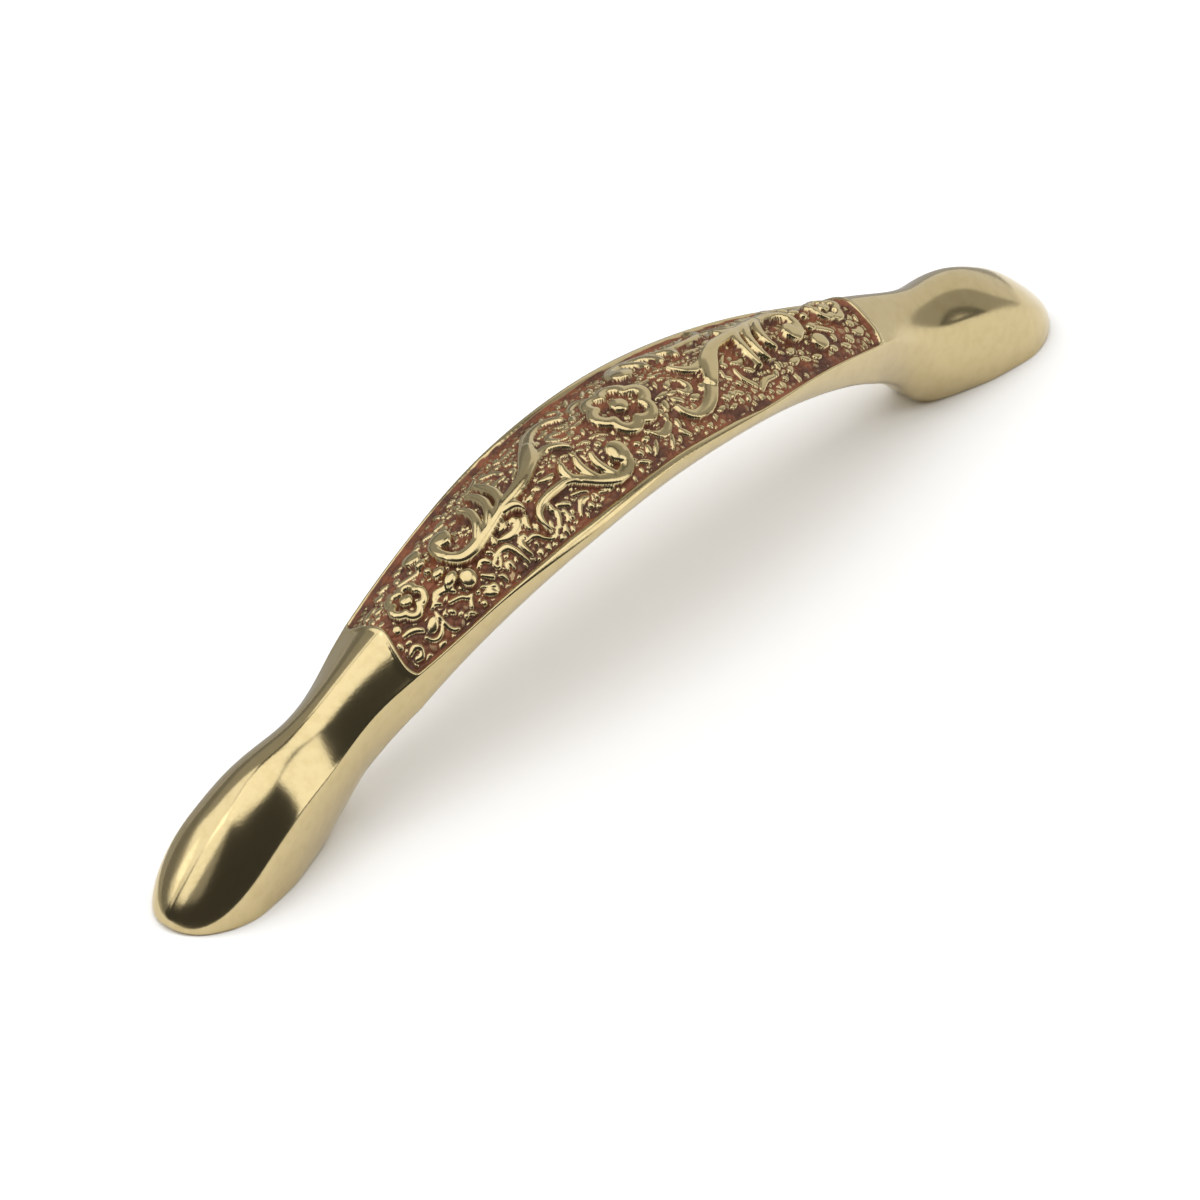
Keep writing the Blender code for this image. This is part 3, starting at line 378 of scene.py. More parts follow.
# Each bead or pebble is x, y, half length, half width and the turn of its length in degrees
BEADS = (
    (-25.17, 0.40, 0.34, 0.34, 0), (-24.77, -0.50, 0.70, 0.41, 0), (-24.47, -1.65, 0.79, 0.48, 10),
    (-23.28, -2.65, 0.78, 0.76, 0), (-24.6, 1.75, 0.57, 0.39, 5), (-24.05, 3.3, 0.92, 0.76, 15),
)
PEBBLES = (
    (-30.95, -1.15, 0.36, 0.36, 0), (-28.3, -3.05, 0.66, 0.44, 20), (-26.3, -3.5, 0.36, 0.22, -50),
    (-25.6, -4.55, 0.22, 0.20, 0), (-23.4, -3.98, 0.19, 0.19, 0), (-23.65, -4.93, 0.26, 0.25, 0),
    (-22.6, -4.75, 0.66, 0.30, -40), (-20.25, -2.43, 0.38, 0.21, -50), (-19.2, -2.08, 0.42, 0.28, 25),
    (-17.6, -1.73, 0.62, 0.30, 12), (-16.55, -2.03, 0.40, 0.40, 0), (-13.85, -1.63, 0.60, 0.25, 8),
    (-11.85, -4.92, 0.16, 0.16, 0), (-10.05, -5.57, 0.30, 0.28, 0), (-9.0, -5.3, 0.30, 0.15, 80),
    (-11.2, -0.53, 0.45, 0.15, -10), (-10.1, -0.63, 0.24, 0.15, 50), (-9.3, -0.48, 0.30, 0.16, 60),
    (-8.3, -0.83, 0.38, 0.18, -25), (-6.75, -1.33, 0.42, 0.16, -30), (-4.95, -1.88, 0.34, 0.34, 0),
    (-2.0, -3.95, 0.32, 0.26, 0), (-0.95, -4.05, 0.42, 0.26, 0), (-2.45, -4.75, 0.30, 0.30, 0),
    (-1.6, -4.95, 0.50, 0.28, 55), (-2.85, -5.6, 0.64, 0.23, -30), (-0.85, -5.2, 0.88, 0.20, 40),
    (-0.25, -3.57, 0.35, 0.20, 0), (-1.75, 5.8, 0.40, 0.17, 45), (-2.75, 5.55, 0.66, 0.32, -60),
    (-0.95, 5.6, 0.82, 0.20, 45), (-4.05, 5.9, 0.36, 0.18, 45), (-2.95, 4.5, 0.48, 0.26, 60),
    (-2.5, 3.5, 0.47, 0.22, 30), (-3.45, 2.6, 0.66, 0.33, 50), (-4.1, 1.55, 0.80, 0.23, 0),
    (-4.9, 2.75, 0.66, 0.31, -45), (-5.15, 1.95, 0.47, 0.22, 0), (-6.6, 3.45, 0.64, 0.31, 0),
    (-8.0, 2.9, 0.47, 0.23, 45), (-6.3, 0.85, 0.55, 0.18, -20), (-5.5, 0.95, 0.50, 0.31, 30),
    (-4.7, 0.2, 0.55, 0.18, 60), (-5.7, 0.0, 0.40, 0.22, -20), (-9.3, 4.85, 0.44, 0.31, 0),
    (-10.1, 4.8, 0.38, 0.31, 0), (-10.9, 4.95, 0.52, 0.27, -20), (-7.9, 5.45, 0.58, 0.20, 10),
    (-9.3, 5.75, 0.55, 0.16, 10), (-11.4, 5.7, 0.40, 0.20, 40), (-11.75, 4.25, 0.34, 0.27, 0),
    (-12.05, 2.2, 0.38, 0.30, 0), (-14.1, 3.5, 0.60, 0.31, -15), (-12.5, 1.55, 0.72, 0.18, 30),
    (-28.3, 3.6, 0.48, 0.38, 0), (-26.4, 3.2, 0.42, 0.29, 50), (-21.0, 4.3, 0.58, 0.29, -20),
    (-20.2, 3.2, 0.64, 0.31, 20), (-19.6, 4.2, 0.78, 0.31, 10), (-18.3, 4.8, 0.47, 0.25, 30),
    (-17.3, 4.1, 0.47, 0.25, 60), (-16.4, 4.7, 0.47, 0.25, 40), (-16.9, 5.4, 0.30, 0.25, 0),
    (-22.6, 4.4, 0.58, 0.25, 0), (-29.9, 2.3, 0.47, 0.33, 0), (-25.4, 4.1, 0.42, 0.29, 0),
    (-27.2, 4.1, 0.55, 0.24, -10), (-31.2, 1.9, 0.42, 0.20, 70), (-25.0, -4.75, 0.36, 0.16, -50),
)
SEED_RING = (-19.95, 0.85, 0.46, 6)
SEED_SIZE = (0.20, 0.15)

FLOWER_LOBES = 6
FLOWER_LOBE_RADIUS = 2.98
FLOWER_NOTCH_RADIUS = 2.30
FLOWER_LINE = 0.56
FLOWER_BOSS = (0.0, 0.0, 0.88, 0.84, 90.0)
BUD_X = -28.5
BUD_LOBES = 5
BUD_LOBE_RADIUS = 1.66
BUD_NOTCH_RADIUS = 1.25
BUD_LINE = 0.34
BUD_TURN = 184.0
BUD_BOSS = (BUD_X, 0.0, 0.62, 0.58, 0.0)
LOBE_POWER = 0.9


def ramp(value, low, high):
    """A smooth step from 0 at low to 1 at high."""
    share = np.clip((value - low) / (high - low), 0.0, 1.0)
    return share * share * (3.0 - 2.0 * share)


def spline(stations, values, at):
    """A cubic spline that is level at its first station and free at its last, run on straight past it."""
    stations = np.asarray(stations, float)
    values = np.asarray(values, float)
    count = len(stations)
    gaps = np.diff(stations)
    rises = np.diff(values) / gaps
    matrix = np.zeros((count, count))
    right = np.zeros(count)
    matrix[0, 0] = 2.0 * gaps[0]
    matrix[0, 1] = gaps[0]
    right[0] = 6.0 * rises[0]
    for row in range(1, count - 1):
        matrix[row, row - 1] = gaps[row - 1]
        matrix[row, row] = 2.0 * (gaps[row - 1] + gaps[row])
        matrix[row, row + 1] = gaps[row]
        right[row] = 6.0 * (rises[row] - rises[row - 1])
    matrix[-1, -1] = 1.0
    bends = np.linalg.solve(matrix, right)
    inside = np.clip(at, stations[0], stations[-1])
    span = np.clip(np.searchsorted(stations, inside, side="right") - 1, 0, count - 2)
    before = inside - stations[span]
    after = stations[span + 1] - inside
    gap = gaps[span]
    curve = (bends[span] * after ** 3 + bends[span + 1] * before ** 3) / (6.0 * gap)
    curve += (values[span] / gap - bends[span] * gap / 6.0) * after
    curve += (values[span + 1] / gap - bends[span + 1] * gap / 6.0) * before
    end_slope = rises[-1] + gaps[-1] * (bends[-2] + 2.0 * bends[-1]) / 6.0
    return curve + end_slope * np.maximum(at - stations[-1], 0.0)


def drawn_line(points):
    """The line through the points, rounded between them by a cubic curve."""
    points = np.asarray(points, float)
    padded = np.vstack([2 * points[0] - points[1], points, 2 * points[-1] - points[-2]])
    share = np.linspace(0.0, 1.0, LINE_STEPS, endpoint=False)[:, None]
    rows = []
    for a, b, c, d in zip(padded[:-3], padded[1:-2], padded[2:-1], padded[3:]):
        rows.append(0.5 * (2 * b + (c - a) * share + (2 * a - 5 * b + 4 * c - d) * share ** 2
                           + (3 * b - a - 3 * c + d) * share ** 3))
    rows.append(points[-1:])
    return np.vstack(rows)


def ring_line(centre_x, lobes, lobe_radius, notch_radius, half_width, turn=0.0):
    """The lobed outline of a flower, as a closed line of even width."""
    angles = np.linspace(0.0, 2 * math.pi, LOBE_STEPS * lobes + 1)
    swell = np.abs(np.cos(lobes * angles / 2)) ** LOBE_POWER
    radius = notch_radius + (lobe_radius - notch_radius) * swell
    angles = angles + math.radians(turn)
    widths = np.full_like(angles, half_width)
    return np.stack([centre_x + radius * np.cos(angles), radius * np.sin(angles), widths], axis=1)


def raise_line(field, x, y, line, rise):
    """Lift the field to a rounded ridge along a line, with a steep wall on both sides."""
    reach = line[:, 2].max() + GROUND_MOAT[1]
    low = line[:, :2].min(axis=0) - reach
    high = line[:, :2].max(axis=0) + reach
    near = np.flatnonzero((x > low[0]) & (x < high[0]) & (y > low[1]) & (y < high[1]))
    if not len(near):
        return
    px = x[near]
    py = y[near]
    best = np.zeros(len(near))
    gap = np.full(len(near), GROUND_MOAT[1])
    for (ax, ay, aw), (bx, by, bw) in zip(line[:-1], line[1:]):
        dx = bx - ax
        dy = by - ay
        along = np.clip(((px - ax) * dx + (py - ay) * dy) / (dx * dx + dy * dy + LEAST_SQUARE), 0.0, 1.0)
        away = np.hypot(px - ax - along * dx, py - ay - along * dy)
        half_width = aw + (bw - aw) * along
        best = np.maximum(best, ridge(away, half_width))
        gap = np.minimum(gap, away - half_width)
    raise_field(field, near, rise, best, gap)


def raise_bead(field, x, y, bead, rise):
    """Lift the field to a rounded oval."""
    centre_x, centre_y, half_length, half_width, turn = bead
    reach = half_length + GROUND_MOAT[1]
    near = np.flatnonzero(np.maximum(np.abs(x - centre_x), np.abs(y - centre_y)) < reach)
    c = math.cos(math.radians(turn))
    s = math.sin(math.radians(turn))
    along = (x[near] - centre_x) * c + (y[near] - centre_y) * s
    across = (y[near] - centre_y) * c - (x[near] - centre_x) * s
    away = np.hypot(along, across)
    radius = away / np.maximum(np.hypot(along / half_length, across / half_width), LEAST)
    radius = np.maximum(radius, LEAST)
    raise_field(field, near, rise, ridge(away, radius), away - radius)


def raise_field(field, near, rise, share, gap):
    """Lift the field's heights at these places.

    It also notes what share of its form's rise each place has reached, and the gap to the nearest form.
    """
    higher = rise * share > field[0, near]
    field[0, near[higher]] = rise * share[higher]
    field[1, near[higher]] = share[higher]
    field[2, near] = np.minimum(field[2, near], gap)


def ridge(away, half_width):
    """Section of a cast ridge: a rounded back as wide as drawn, then a steep wall down to the ground."""
    back = 1.0 - BACK_ROUNDING * np.minimum(away / half_width, 1.0) ** BACK_POWER
    return back * (1.0 - ramp(away - half_width, 0.0, DRAWN_WALL))


def ground_cells(x, y):
    """How deep each place lies in its cell of the grid, in drawn millimetres, and the cell's own number."""
    c = math.cos(GROUND_TURN)
    s = math.sin(GROUND_TURN)
    u = (x * c + y * s) / GROUND_CELL[0]
    v = (y * c - x * s) / GROUND_CELL[1]
    size = math.ceil(GROUND_REACH * DRAWN_HALF_LENGTH / min(GROUND_CELL))
    jitter = np.random.default_rng(GROUND_SEED).random((size, size, 3))
    column = np.floor(u).astype(int)
    row = np.floor(v).astype(int)
    nearest = np.full(len(x), DRAWN_HALF_LENGTH)
    second = np.full(len(x), DRAWN_HALF_LENGTH)
    number = np.zeros(len(x))
    for across in (-1, 0, 1):
        for up in (-1, 0, 1):
            kind = jitter[(column + across) % size, (row + up) % size]
            du = (column + across + kind[:, 0] - u) * GROUND_CELL[0]
            dv = (row + up + kind[:, 1] - v) * GROUND_CELL[1]
            away = np.hypot(du, dv)
            closer = away < nearest
            second = np.where(closer, nearest, np.minimum(second, away))
            number = np.where(closer, kind[:, 2], number)
            nearest = np.minimum(nearest, away)
    return (second - nearest) / 2, number


def raise_ground(field, x, y):
    """Lift the bare ground to low pebbles, some worn bright and some left under the stain."""
    depth, number = ground_cells(x, y)
    share = ramp(depth, *GROUND_GAP) * ramp(field[2], *GROUND_MOAT)
    share = GROUND_POLISH * share * (1.0 - GROUND_WEAR * number)
    raise_field(field, np.arange(len(x)), GROUND_RISE, share, field[2])


def carving(x, y, room):
    """Height of the carving over the panel's ground, and its share of the form's rise.

    The places are in metres. room is the way from each to the panel's wall, of which pebbles keep clear.
    """
    shape = x.shape
    x = x.ravel() * DRAWN_HALF_LENGTH / PANEL_HALF_LENGTH
    y = y.ravel() * DRAWN_HALF_WIDTH / (MIDDLE_WIDTH / 2)
    field = np.zeros((3, len(x)))
    field[2] = np.minimum(1000.0 * room.ravel(), GROUND_MOAT[1])
    for turn in (1.0, -1.0):
        u = turn * x
        v = turn * y
        for pebble in PEBBLES:
            raise_bead(field, u, v, pebble, PEBBLE_RISE)
        centre_x, centre_y, radius, count = SEED_RING
        for number in range(count):
            angle = 2 * math.pi * number / count
            place = (centre_x + radius * math.cos(angle), centre_y + radius * math.sin(angle))
            raise_bead(field, u, v, (*place, *SEED_SIZE, math.degrees(angle)), WORM_RISE)
        for worm in WORMS:
            raise_line(field, u, v, drawn_line(worm), WORM_RISE)
        for bead in BEADS:
            raise_bead(field, u, v, bead, BEAD_RISE)
        bud = ring_line(BUD_X, BUD_LOBES, BUD_LOBE_RADIUS, BUD_NOTCH_RADIUS, BUD_LINE, BUD_TURN)
        raise_line(field, u, v, bud, BUD_RISE)
        raise_bead(field, u, v, BUD_BOSS, BUD_RISE)
        raise_line(field, u, v, drawn_line(STEM), SCROLL_RISE)
        raise_bead(field, u, v, VOLUTE, CURL_RISE)
        raise_line(field, u, v, drawn_line(THORN), SCROLL_RISE)
        for leaf in SCROLL_LEAVES:
            raise_line(field, u, v, drawn_line(leaf), SCROLL_RISE)
        raise_line(field, u, v, drawn_line(UPPER_BRANCH), FORK_RISE)
        raise_line(field, u, v, drawn_line(LOWER_BRANCH), FORK_RISE)
        raise_line(field, u, v, drawn_line(C_SCROLL), BRANCH_RISE)
        raise_bead(field, u, v, C_BALL, CURL_RISE)
        for leaf in C_LEAVES:
            raise_line(field, u, v, drawn_line(leaf), BRANCH_RISE)
    flower = ring_line(0.0, FLOWER_LOBES, FLOWER_LOBE_RADIUS, FLOWER_NOTCH_RADIUS, FLOWER_LINE)
    raise_line(field, x, y, flower, FLOWER_RISE)
    raise_bead(field, x, y, FLOWER_BOSS, FLOWER_RISE)
    raise_ground(field, x * np.sign(x), y * np.sign(x))
    field[0] *= np.interp(np.abs(x), *zip(*SWELL))
    return field[0].reshape(shape), field[1].reshape(shape)


def columns():
    """Places along X with a ring of points: close in the panel, wider in the feet, finer at the toe."""
    panel_reach = PANEL_HALF_LENGTH + END_BULGE + LIP_WIDTH
    cap_x = HALF_LENGTH - TOE_CAP_LENGTH
    panel = np.linspace(0.0, panel_reach, math.ceil(panel_reach / PANEL_STEP) + 1)
    foot = np.linspace(panel_reach, cap_x, math.ceil((cap_x - panel_reach) / FOOT_STEP) + 1)
    turn = np.linspace(0.0, math.pi / 2, TOE_RINGS)
    toe = cap_x + TOE_CAP_LENGTH * np.sin(turn)
    half = np.concatenate([panel, foot[1:], toe[1:]])
    return np.concatenate([-half[:0:-1], half])


def casting():
    """Rings of points round the casting, and how much stain each point holds."""
    x = columns()
    out = np.abs(x)
    share = np.clip((out - (HALF_LENGTH - TOE_CAP_LENGTH)) / TOE_CAP_LENGTH, 0.0, 1.0)
    cap = np.maximum(1.0 - share ** TOE_POWERS[0], 0.0) ** TOE_POWERS[1]
    half_width = spline(STATIONS, WIDTHS, out) / 2 * cap
    crown = TOE_LIFT + (spline(STATIONS, CROWNS, out) - TOE_LIFT) * cap
    crease = TOE_LIFT + (spline(STATIONS, CREASES, out) - TOE_LIFT) * cap
    heel = ramp(out, NECK_X, HEEL_X)
    sole = spline(STATIONS[:len(UNDERSIDES)], UNDERSIDES, out) * (1.0 - heel) - SOLE_STOCK * heel
    curl = np.clip((out - (HALF_LENGTH - SOLE_CURL_LENGTH)) / SOLE_CURL_LENGTH, 0.0, 1.0)
    sole = np.minimum(sole + (TOE_LIFT + SOLE_STOCK) * (1.0 - np.sqrt(1.0 - curl ** 2)), crease)
    tuck = np.interp(out, *zip(*TUCKS))
    soft_crease = crease - SOFT_SAG * ramp(out, *SAG_GROWS) * ramp(out, *SAG_FADES) * cap

    across = np.linspace(-1.0, 1.0, math.ceil(MIDDLE_WIDTH / PANEL_STEP) + 1)[None]
    soft = x[:, None] * across < 0.0
    crest = CREST_ROUNDING * ramp(out, PANEL_HALF_LENGTH, HOLE_X)[:, None]
    fall = (across ** 2 + crest ** 2) ** (CROWN_POWER / 2) - crest ** CROWN_POWER
    dome = np.maximum(1.0 - fall / fall[:, :1], 0.0)
    fullness = BOW_FULLNESS + (FOOT_FULLNESS - BOW_FULLNESS) * ramp(out, NECK_X, HOLE_X)
    soft_fullness = BOW_FULLNESS + (SOFT_FULLNESS - BOW_FULLNESS) * ramp(out, *SAG_GROWS)
    fullness = np.where(soft, soft_fullness[:, None], fullness[:, None])
    edge = np.where(soft, soft_crease[:, None], crease[:, None])
    top = np.stack([np.broadcast_to(x[:, None], soft.shape), half_width[:, None] * across,
                    edge + (crown[:, None] - edge) * dome ** fullness], axis=-1)
    lift, stain = relief(top[..., 0], top[..., 1], half_width)
    top = top + lift[..., None] * normals(top)

    far_y, far_z = flank(half_width, np.where(x < 0.0, soft_crease, crease), sole, tuck)
    near_y, near_z = flank(half_width, np.where(x > 0.0, soft_crease, crease), sole, tuck)
    under = np.linspace(0.0, 1.0, UNDER_ROWS)[None, 1:-1]
    under_y = far_y[:, -1:] - (far_y[:, -1:] + near_y[:, -1:]) * under
    under_z = np.broadcast_to(far_z[:, -1:], under_y.shape)
    rest_y = np.concatenate([far_y, under_y, -near_y[:, ::-1], top[:, :1, 1]], axis=1)
    rest_z = np.concatenate([far_z, under_z, near_z[:, ::-1], top[:, :1, 2]], axis=1)
    rest_x = np.broadcast_to(x[:, None], rest_y.shape)
    rest = np.stack([rest_x, rest_y, rest_z], axis=-1)
    rings = np.concatenate([top, rest], axis=1)
    round_creases(rings, half_width[:, None] - np.abs(top[..., 1]), out)
    return rings, np.concatenate([stain, np.zeros(rest_y.shape)], axis=1)


def flank(half_width, crease, sole, tuck):
    """Places across and heights of one flank, row by row from the crease down and round to the underside."""
    drop = (crease - sole)[:, None]
    rounding = np.minimum(UNDERSIDE_ROUNDING, ROUNDING_SHARE * np.minimum(drop[:, 0], half_width))[:, None]
    level = np.array(FLANK_ROWS)[None] * (1.0 - rounding / np.maximum(drop, LEAST))
    flank_y = half_width[:, None] * (1.0 - tuck[:, None] * level ** FLANK_POWER)
    flank_z = crease[:, None] - drop * level
    foot_y = half_width[:, None] * (1.0 - tuck[:, None])
    bend = np.linspace(0.0, math.pi / 2, ROUNDING_ROWS + 1)[None, 1:]
    bend_y = np.minimum(foot_y, flank_y[:, -1:]) - rounding * (1.0 - np.cos(bend))
    bend_z = sole[:, None] + rounding * (1.0 - np.sin(bend))
    return np.concatenate([flank_y, bend_y], axis=1), np.concatenate([flank_z, bend_z], axis=1)


def round_creases(rings, over, out):
    """Draw the points near a crease toward their neighbours in the ring, more often in the feet.

    over is how far in from the crease each point of the crown lies, and out how far along each ring is.
    """
    soft = rings[..., 0] * rings[..., 1] < 0.0
    middle_rows = rings.shape[1] - over.shape[1] - 2 * len(FLANK_ROWS) - 1
    below = np.concatenate([FLANK_ROWS, np.ones(middle_rows), FLANK_ROWS[::-1]])[None]
    loose = np.zeros(rings.shape[:2])
    for chosen, (reach, drop) in ((soft[:, :-1], SOFT_REACH), (~soft[:, :-1], CRISP_REACH)):
        flanks = np.repeat(ramp(below, drop, 0.0), len(rings), axis=0)
        near = np.concatenate([ramp(over, reach, 0.0), flanks], axis=1)
        loose[:, :-1][chosen] = near[chosen]
    foot = ramp(out, PANEL_HALF_LENGTH + END_BULGE + LIP_WIDTH, INSTEP_X)[:, None]
    passes = np.maximum(foot * np.where(soft, SOFT_PASSES, CRISP_PASSES), BOW_PASSES)
    for number in range(math.ceil(passes.max())):
        rows = np.flatnonzero(passes.max(axis=1) > number)
        ring = rings[rows, :-1]
        middle = (np.roll(ring, 1, axis=1) + np.roll(ring, -1, axis=1)) / 2 - ring
        share = loose[rows, :-1] * np.clip(passes[rows, :-1] - number, 0.0, 1.0)
        rings[rows, :-1] = ring + share[..., None] * middle / 2
    rings[:, -1] = rings[:, 0]


def normals(surface):
    """The upward normal at each point of the crown."""
    along = np.gradient(surface, axis=0)
    across = np.gradient(surface, axis=1)
    up = np.cross(along, across)
    return up / np.maximum(np.linalg.norm(up, axis=-1, keepdims=True), LEAST_SQUARE)


def relief(x, y, half_width):
    """How far the crown is sunk or raised, and how much stain the hollows keep."""
    out = np.abs(x)
    side = np.abs(y)
    half_width = half_width[:, None]
    along_near_side = -x * np.sign(y) * DRAWN_HALF_LENGTH / PANEL_HALF_LENGTH
    rim = np.interp(along_near_side, *zip(*RIM)) * (MIDDLE_WIDTH / 2) / DRAWN_HALF_WIDTH
    to_rim = half_width - rim - side
    share = side / (PANEL_END_WIDTH / 2)
    bulge = END_BULGE * np.sin(math.pi / 2 * np.minimum(share / END_BULGE_PLACE, 1.0)) ** 2 * (x * y > 0.0)
    corner = END_BULGE / 2 * np.maximum((share - END_BULGE_PLACE) / END_ROUNDING, 0.0) ** 2
    to_end = PANEL_HALF_LENGTH + bulge - corner - out
    panel = ramp(to_rim, 0.0, WALL_WIDTH) * ramp(to_end, 0.0, WALL_WIDTH)
    beside = ramp(out, PANEL_HALF_LENGTH + END_BULGE, PANEL_HALF_LENGTH - END_BULGE)
    bead = RIM_RISE * beside * np.maximum(1.0 - ((to_rim + rim / 2) / (rim / 2)) ** 2, 0.0)
    lip = LIP_RISE * np.maximum(1.0 - ((to_end + LIP_WIDTH / 2) / (LIP_WIDTH / 2)) ** 2, 0.0)
    lip = lip * ramp(half_width - side, 0.0, LIP_WIDTH)
    carved, polished = carving(x, y, np.minimum(to_rim, to_end) - WALL_WIDTH / 2)
    inside = ramp(to_rim, 0.0, STAIN_EDGE) * ramp(to_end, 0.0, STAIN_EDGE)
    stain = inside * (1.0 - ramp(polished, *STAIN_SHARES))
    return bead + lip + panel * (carved - PANEL_DEPTH), stain


def deselect_all():
    bpy.ops.object.select_all(action="DESELECT")


def wrap_casting():
    """A flat grid wrapped round the rings, with its seam and both toes closed."""
    rings, stain = casting()
    along = rings.shape[0] - 1
    around = rings.shape[1] - 1
    deselect_all()
    bpy.ops.mesh.primitive_grid_add(x_subdivisions=along, y_subdivisions=around, size=2.0)
    piece = bpy.context.object
    piece.name = "carved_casting"
    mesh = piece.data
    mesh.name = piece.name
    flat = np.empty(len(mesh.vertices) * 3)
    mesh.vertices.foreach_get("co", flat)
    flat = flat.reshape(-1, 3)
    rows = np.rint((flat[:, 0] + 1.0) / 2 * along).astype(int)
    places = np.rint((flat[:, 1] + 1.0) / 2 * around).astype(int)
    mesh.vertices.foreach_set("co", rings[rows, places].ravel())
    kept = mesh.attributes.new("stain", "FLOAT", "POINT")
    kept.data.foreach_set("value", stain[rows, places])
    bpy.ops.object.mode_set(mode="EDIT")
    bpy.ops.mesh.select_all(action="SELECT")
    bpy.ops.mesh.remove_doubles(threshold=WELD_DISTANCE)
    bpy.ops.mesh.normals_make_consistent(inside=False)
    bpy.ops.mesh.faces_shade_smooth()
    bpy.ops.object.mode_set(mode="OBJECT")
    return piece


def grinding_block():
    """The space below the soles that grinding clears."""
    deselect_all()
    bpy.ops.mesh.primitive_cube_add(size=1.0, location=(0.0, 0.0, -2 * SOLE_STOCK),
                                    scale=(3 * HALF_LENGTH, 3 * MIDDLE_WIDTH, 4 * SOLE_STOCK))
    bpy.ops.object.transform_apply(location=True, rotation=True, scale=True)
    return bpy.context.object


def sharpen_cuts(piece):
    """Crisp edges round the ground soles and in the tapped holes, where the casting is otherwise smooth."""
    centres = np.empty(len(piece.data.polygons) * 3)
    piece.data.polygons.foreach_get("center", centres)
    x, y, z = centres.reshape(-1, 3).T
    away = np.hypot(np.abs(x) - HOLE_X, y)
    in_hole = (away < THREAD_WIDTH / 2 + 2 * TAP_HOLE_CHAMFER) & (z < TAP_HOLE_DEPTH + DRILL_POINT)
    machined = (z < SOLE_HEIGHT) | in_hole
    deselect_all()
    piece.select_set(True)
    bpy.context.view_layer.objects.active = piece
    bpy.ops.object.mode_set(mode="EDIT")
    bpy.ops.mesh.select_mode(type="FACE")
    bpy.ops.mesh.select_all(action="DESELECT")
    bpy.ops.object.mode_set(mode="OBJECT")
    piece.data.polygons.foreach_set("select", machined)
    bpy.ops.object.mode_set(mode="EDIT")
    bpy.ops.mesh.set_sharpness_by_angle(angle=CUT_EDGE_ANGLE)
    bpy.ops.object.mode_set(mode="OBJECT")


def thread_radius(height, turn):
    """Radius of the threaded hole at a height and a turn: the bore, opened by the V or by the chamfer."""
    phase = (height / THREAD_PITCH - turn / (2 * math.pi)) % 1.0
    vee = max(0.0, 1.0 - abs(phase - 0.5) / THREAD_VEE)
    bore = TAP_HOLE_WIDTH / 2
    threaded = bore + (THREAD_WIDTH / 2 - bore) * vee
    return max(threaded, THREAD_WIDTH / 2 + TAP_HOLE_CHAMFER - height)


def tap(place_x):
    """The tap's shape: a tube whose rings swell along a helix, closed below the sole and at its point."""
    rows = round(TAP_HOLE_DEPTH / THREAD_PITCH * THREAD_ROWS_A_TURN)
    step = TAP_HOLE_DEPTH / rows
    deselect_all()
    bpy.ops.mesh.primitive_cylinder_add(vertices=THREAD_SIDES, radius=TAP_HOLE_WIDTH / 2, depth=step,
                                        end_fill_type="NGON", location=(place_x, 0.0, -step / 2))
    piece = bpy.context.object
    bpy.ops.object.transform_apply(location=True)
    bpy.ops.object.mode_set(mode="EDIT")
    bpy.ops.mesh.select_all(action="DESELECT")
    bpy.ops.object.mode_set(mode="OBJECT")
    top = max(piece.data.polygons, key=lambda face: face.center.z)
    top.select = True
    bpy.ops.object.mode_set(mode="EDIT")
    for _ in range(rows):
        bpy.ops.mesh.extrude_region_move(TRANSFORM_OT_translate={"value": (0.0, 0.0, step)})
    bpy.ops.mesh.extrude_region_move(TRANSFORM_OT_translate={"value": (0.0, 0.0, DRILL_POINT)})
    bpy.ops.mesh.merge(type="CENTER")
    bpy.ops.object.mode_set(mode="OBJECT")
    for vert in piece.data.vertices:
        if vert.co.z > TAP_HOLE_DEPTH + DRILL_POINT / 2:
            continue
        away = Vector((vert.co.x - place_x, vert.co.y))
        radius = thread_radius(vert.co.z, math.atan2(away.y, away.x))
        away = away.normalized() * radius
        vert.co.x = place_x + away.x
        vert.co.y = away.y
    bpy.ops.object.mode_set(mode="EDIT")
    bpy.ops.mesh.select_all(action="SELECT")
    bpy.ops.mesh.normals_make_consistent(inside=False)
    bpy.ops.object.mode_set(mode="OBJECT")
    return piece


def cut(piece, cutter):
    """Take the cutter's shape out of the piece, and then the cutter away."""
    deselect_all()
    piece.select_set(True)
    bpy.context.view_layer.objects.active = piece
    modifier = piece.modifiers.new("cut", "BOOLEAN")
    modifier.operation = "DIFFERENCE"
    modifier.solver = "EXACT"
    modifier.object = cutter
    bpy.ops.object.modifier_apply(modifier=modifier.name)
    bpy.data.objects.remove(cutter, do_unlink=True)


class Value:
    """One output of a shader node. A sum, difference or product of values adds its Math node."""

    def __init__(self, finish, link):
        self.finish = finish
        self.link = link

    def math(self, operation, first, second):
        return self.finish.node("ShaderNodeMath", {"operation": operation}, {0: first, 1: second})

    def __add__(self, other):
        return self.math("ADD", self, other)

    def __radd__(self, other):
        return self.math("ADD", other, self)

    def __sub__(self, other):
        return self.math("SUBTRACT", self, other)

    def __rsub__(self, other):
        return self.math("SUBTRACT", other, self)

    def __mul__(self, other):
        return self.math("MULTIPLY", self, other)

    def __rmul__(self, other):
        return self.math("MULTIPLY", other, self)


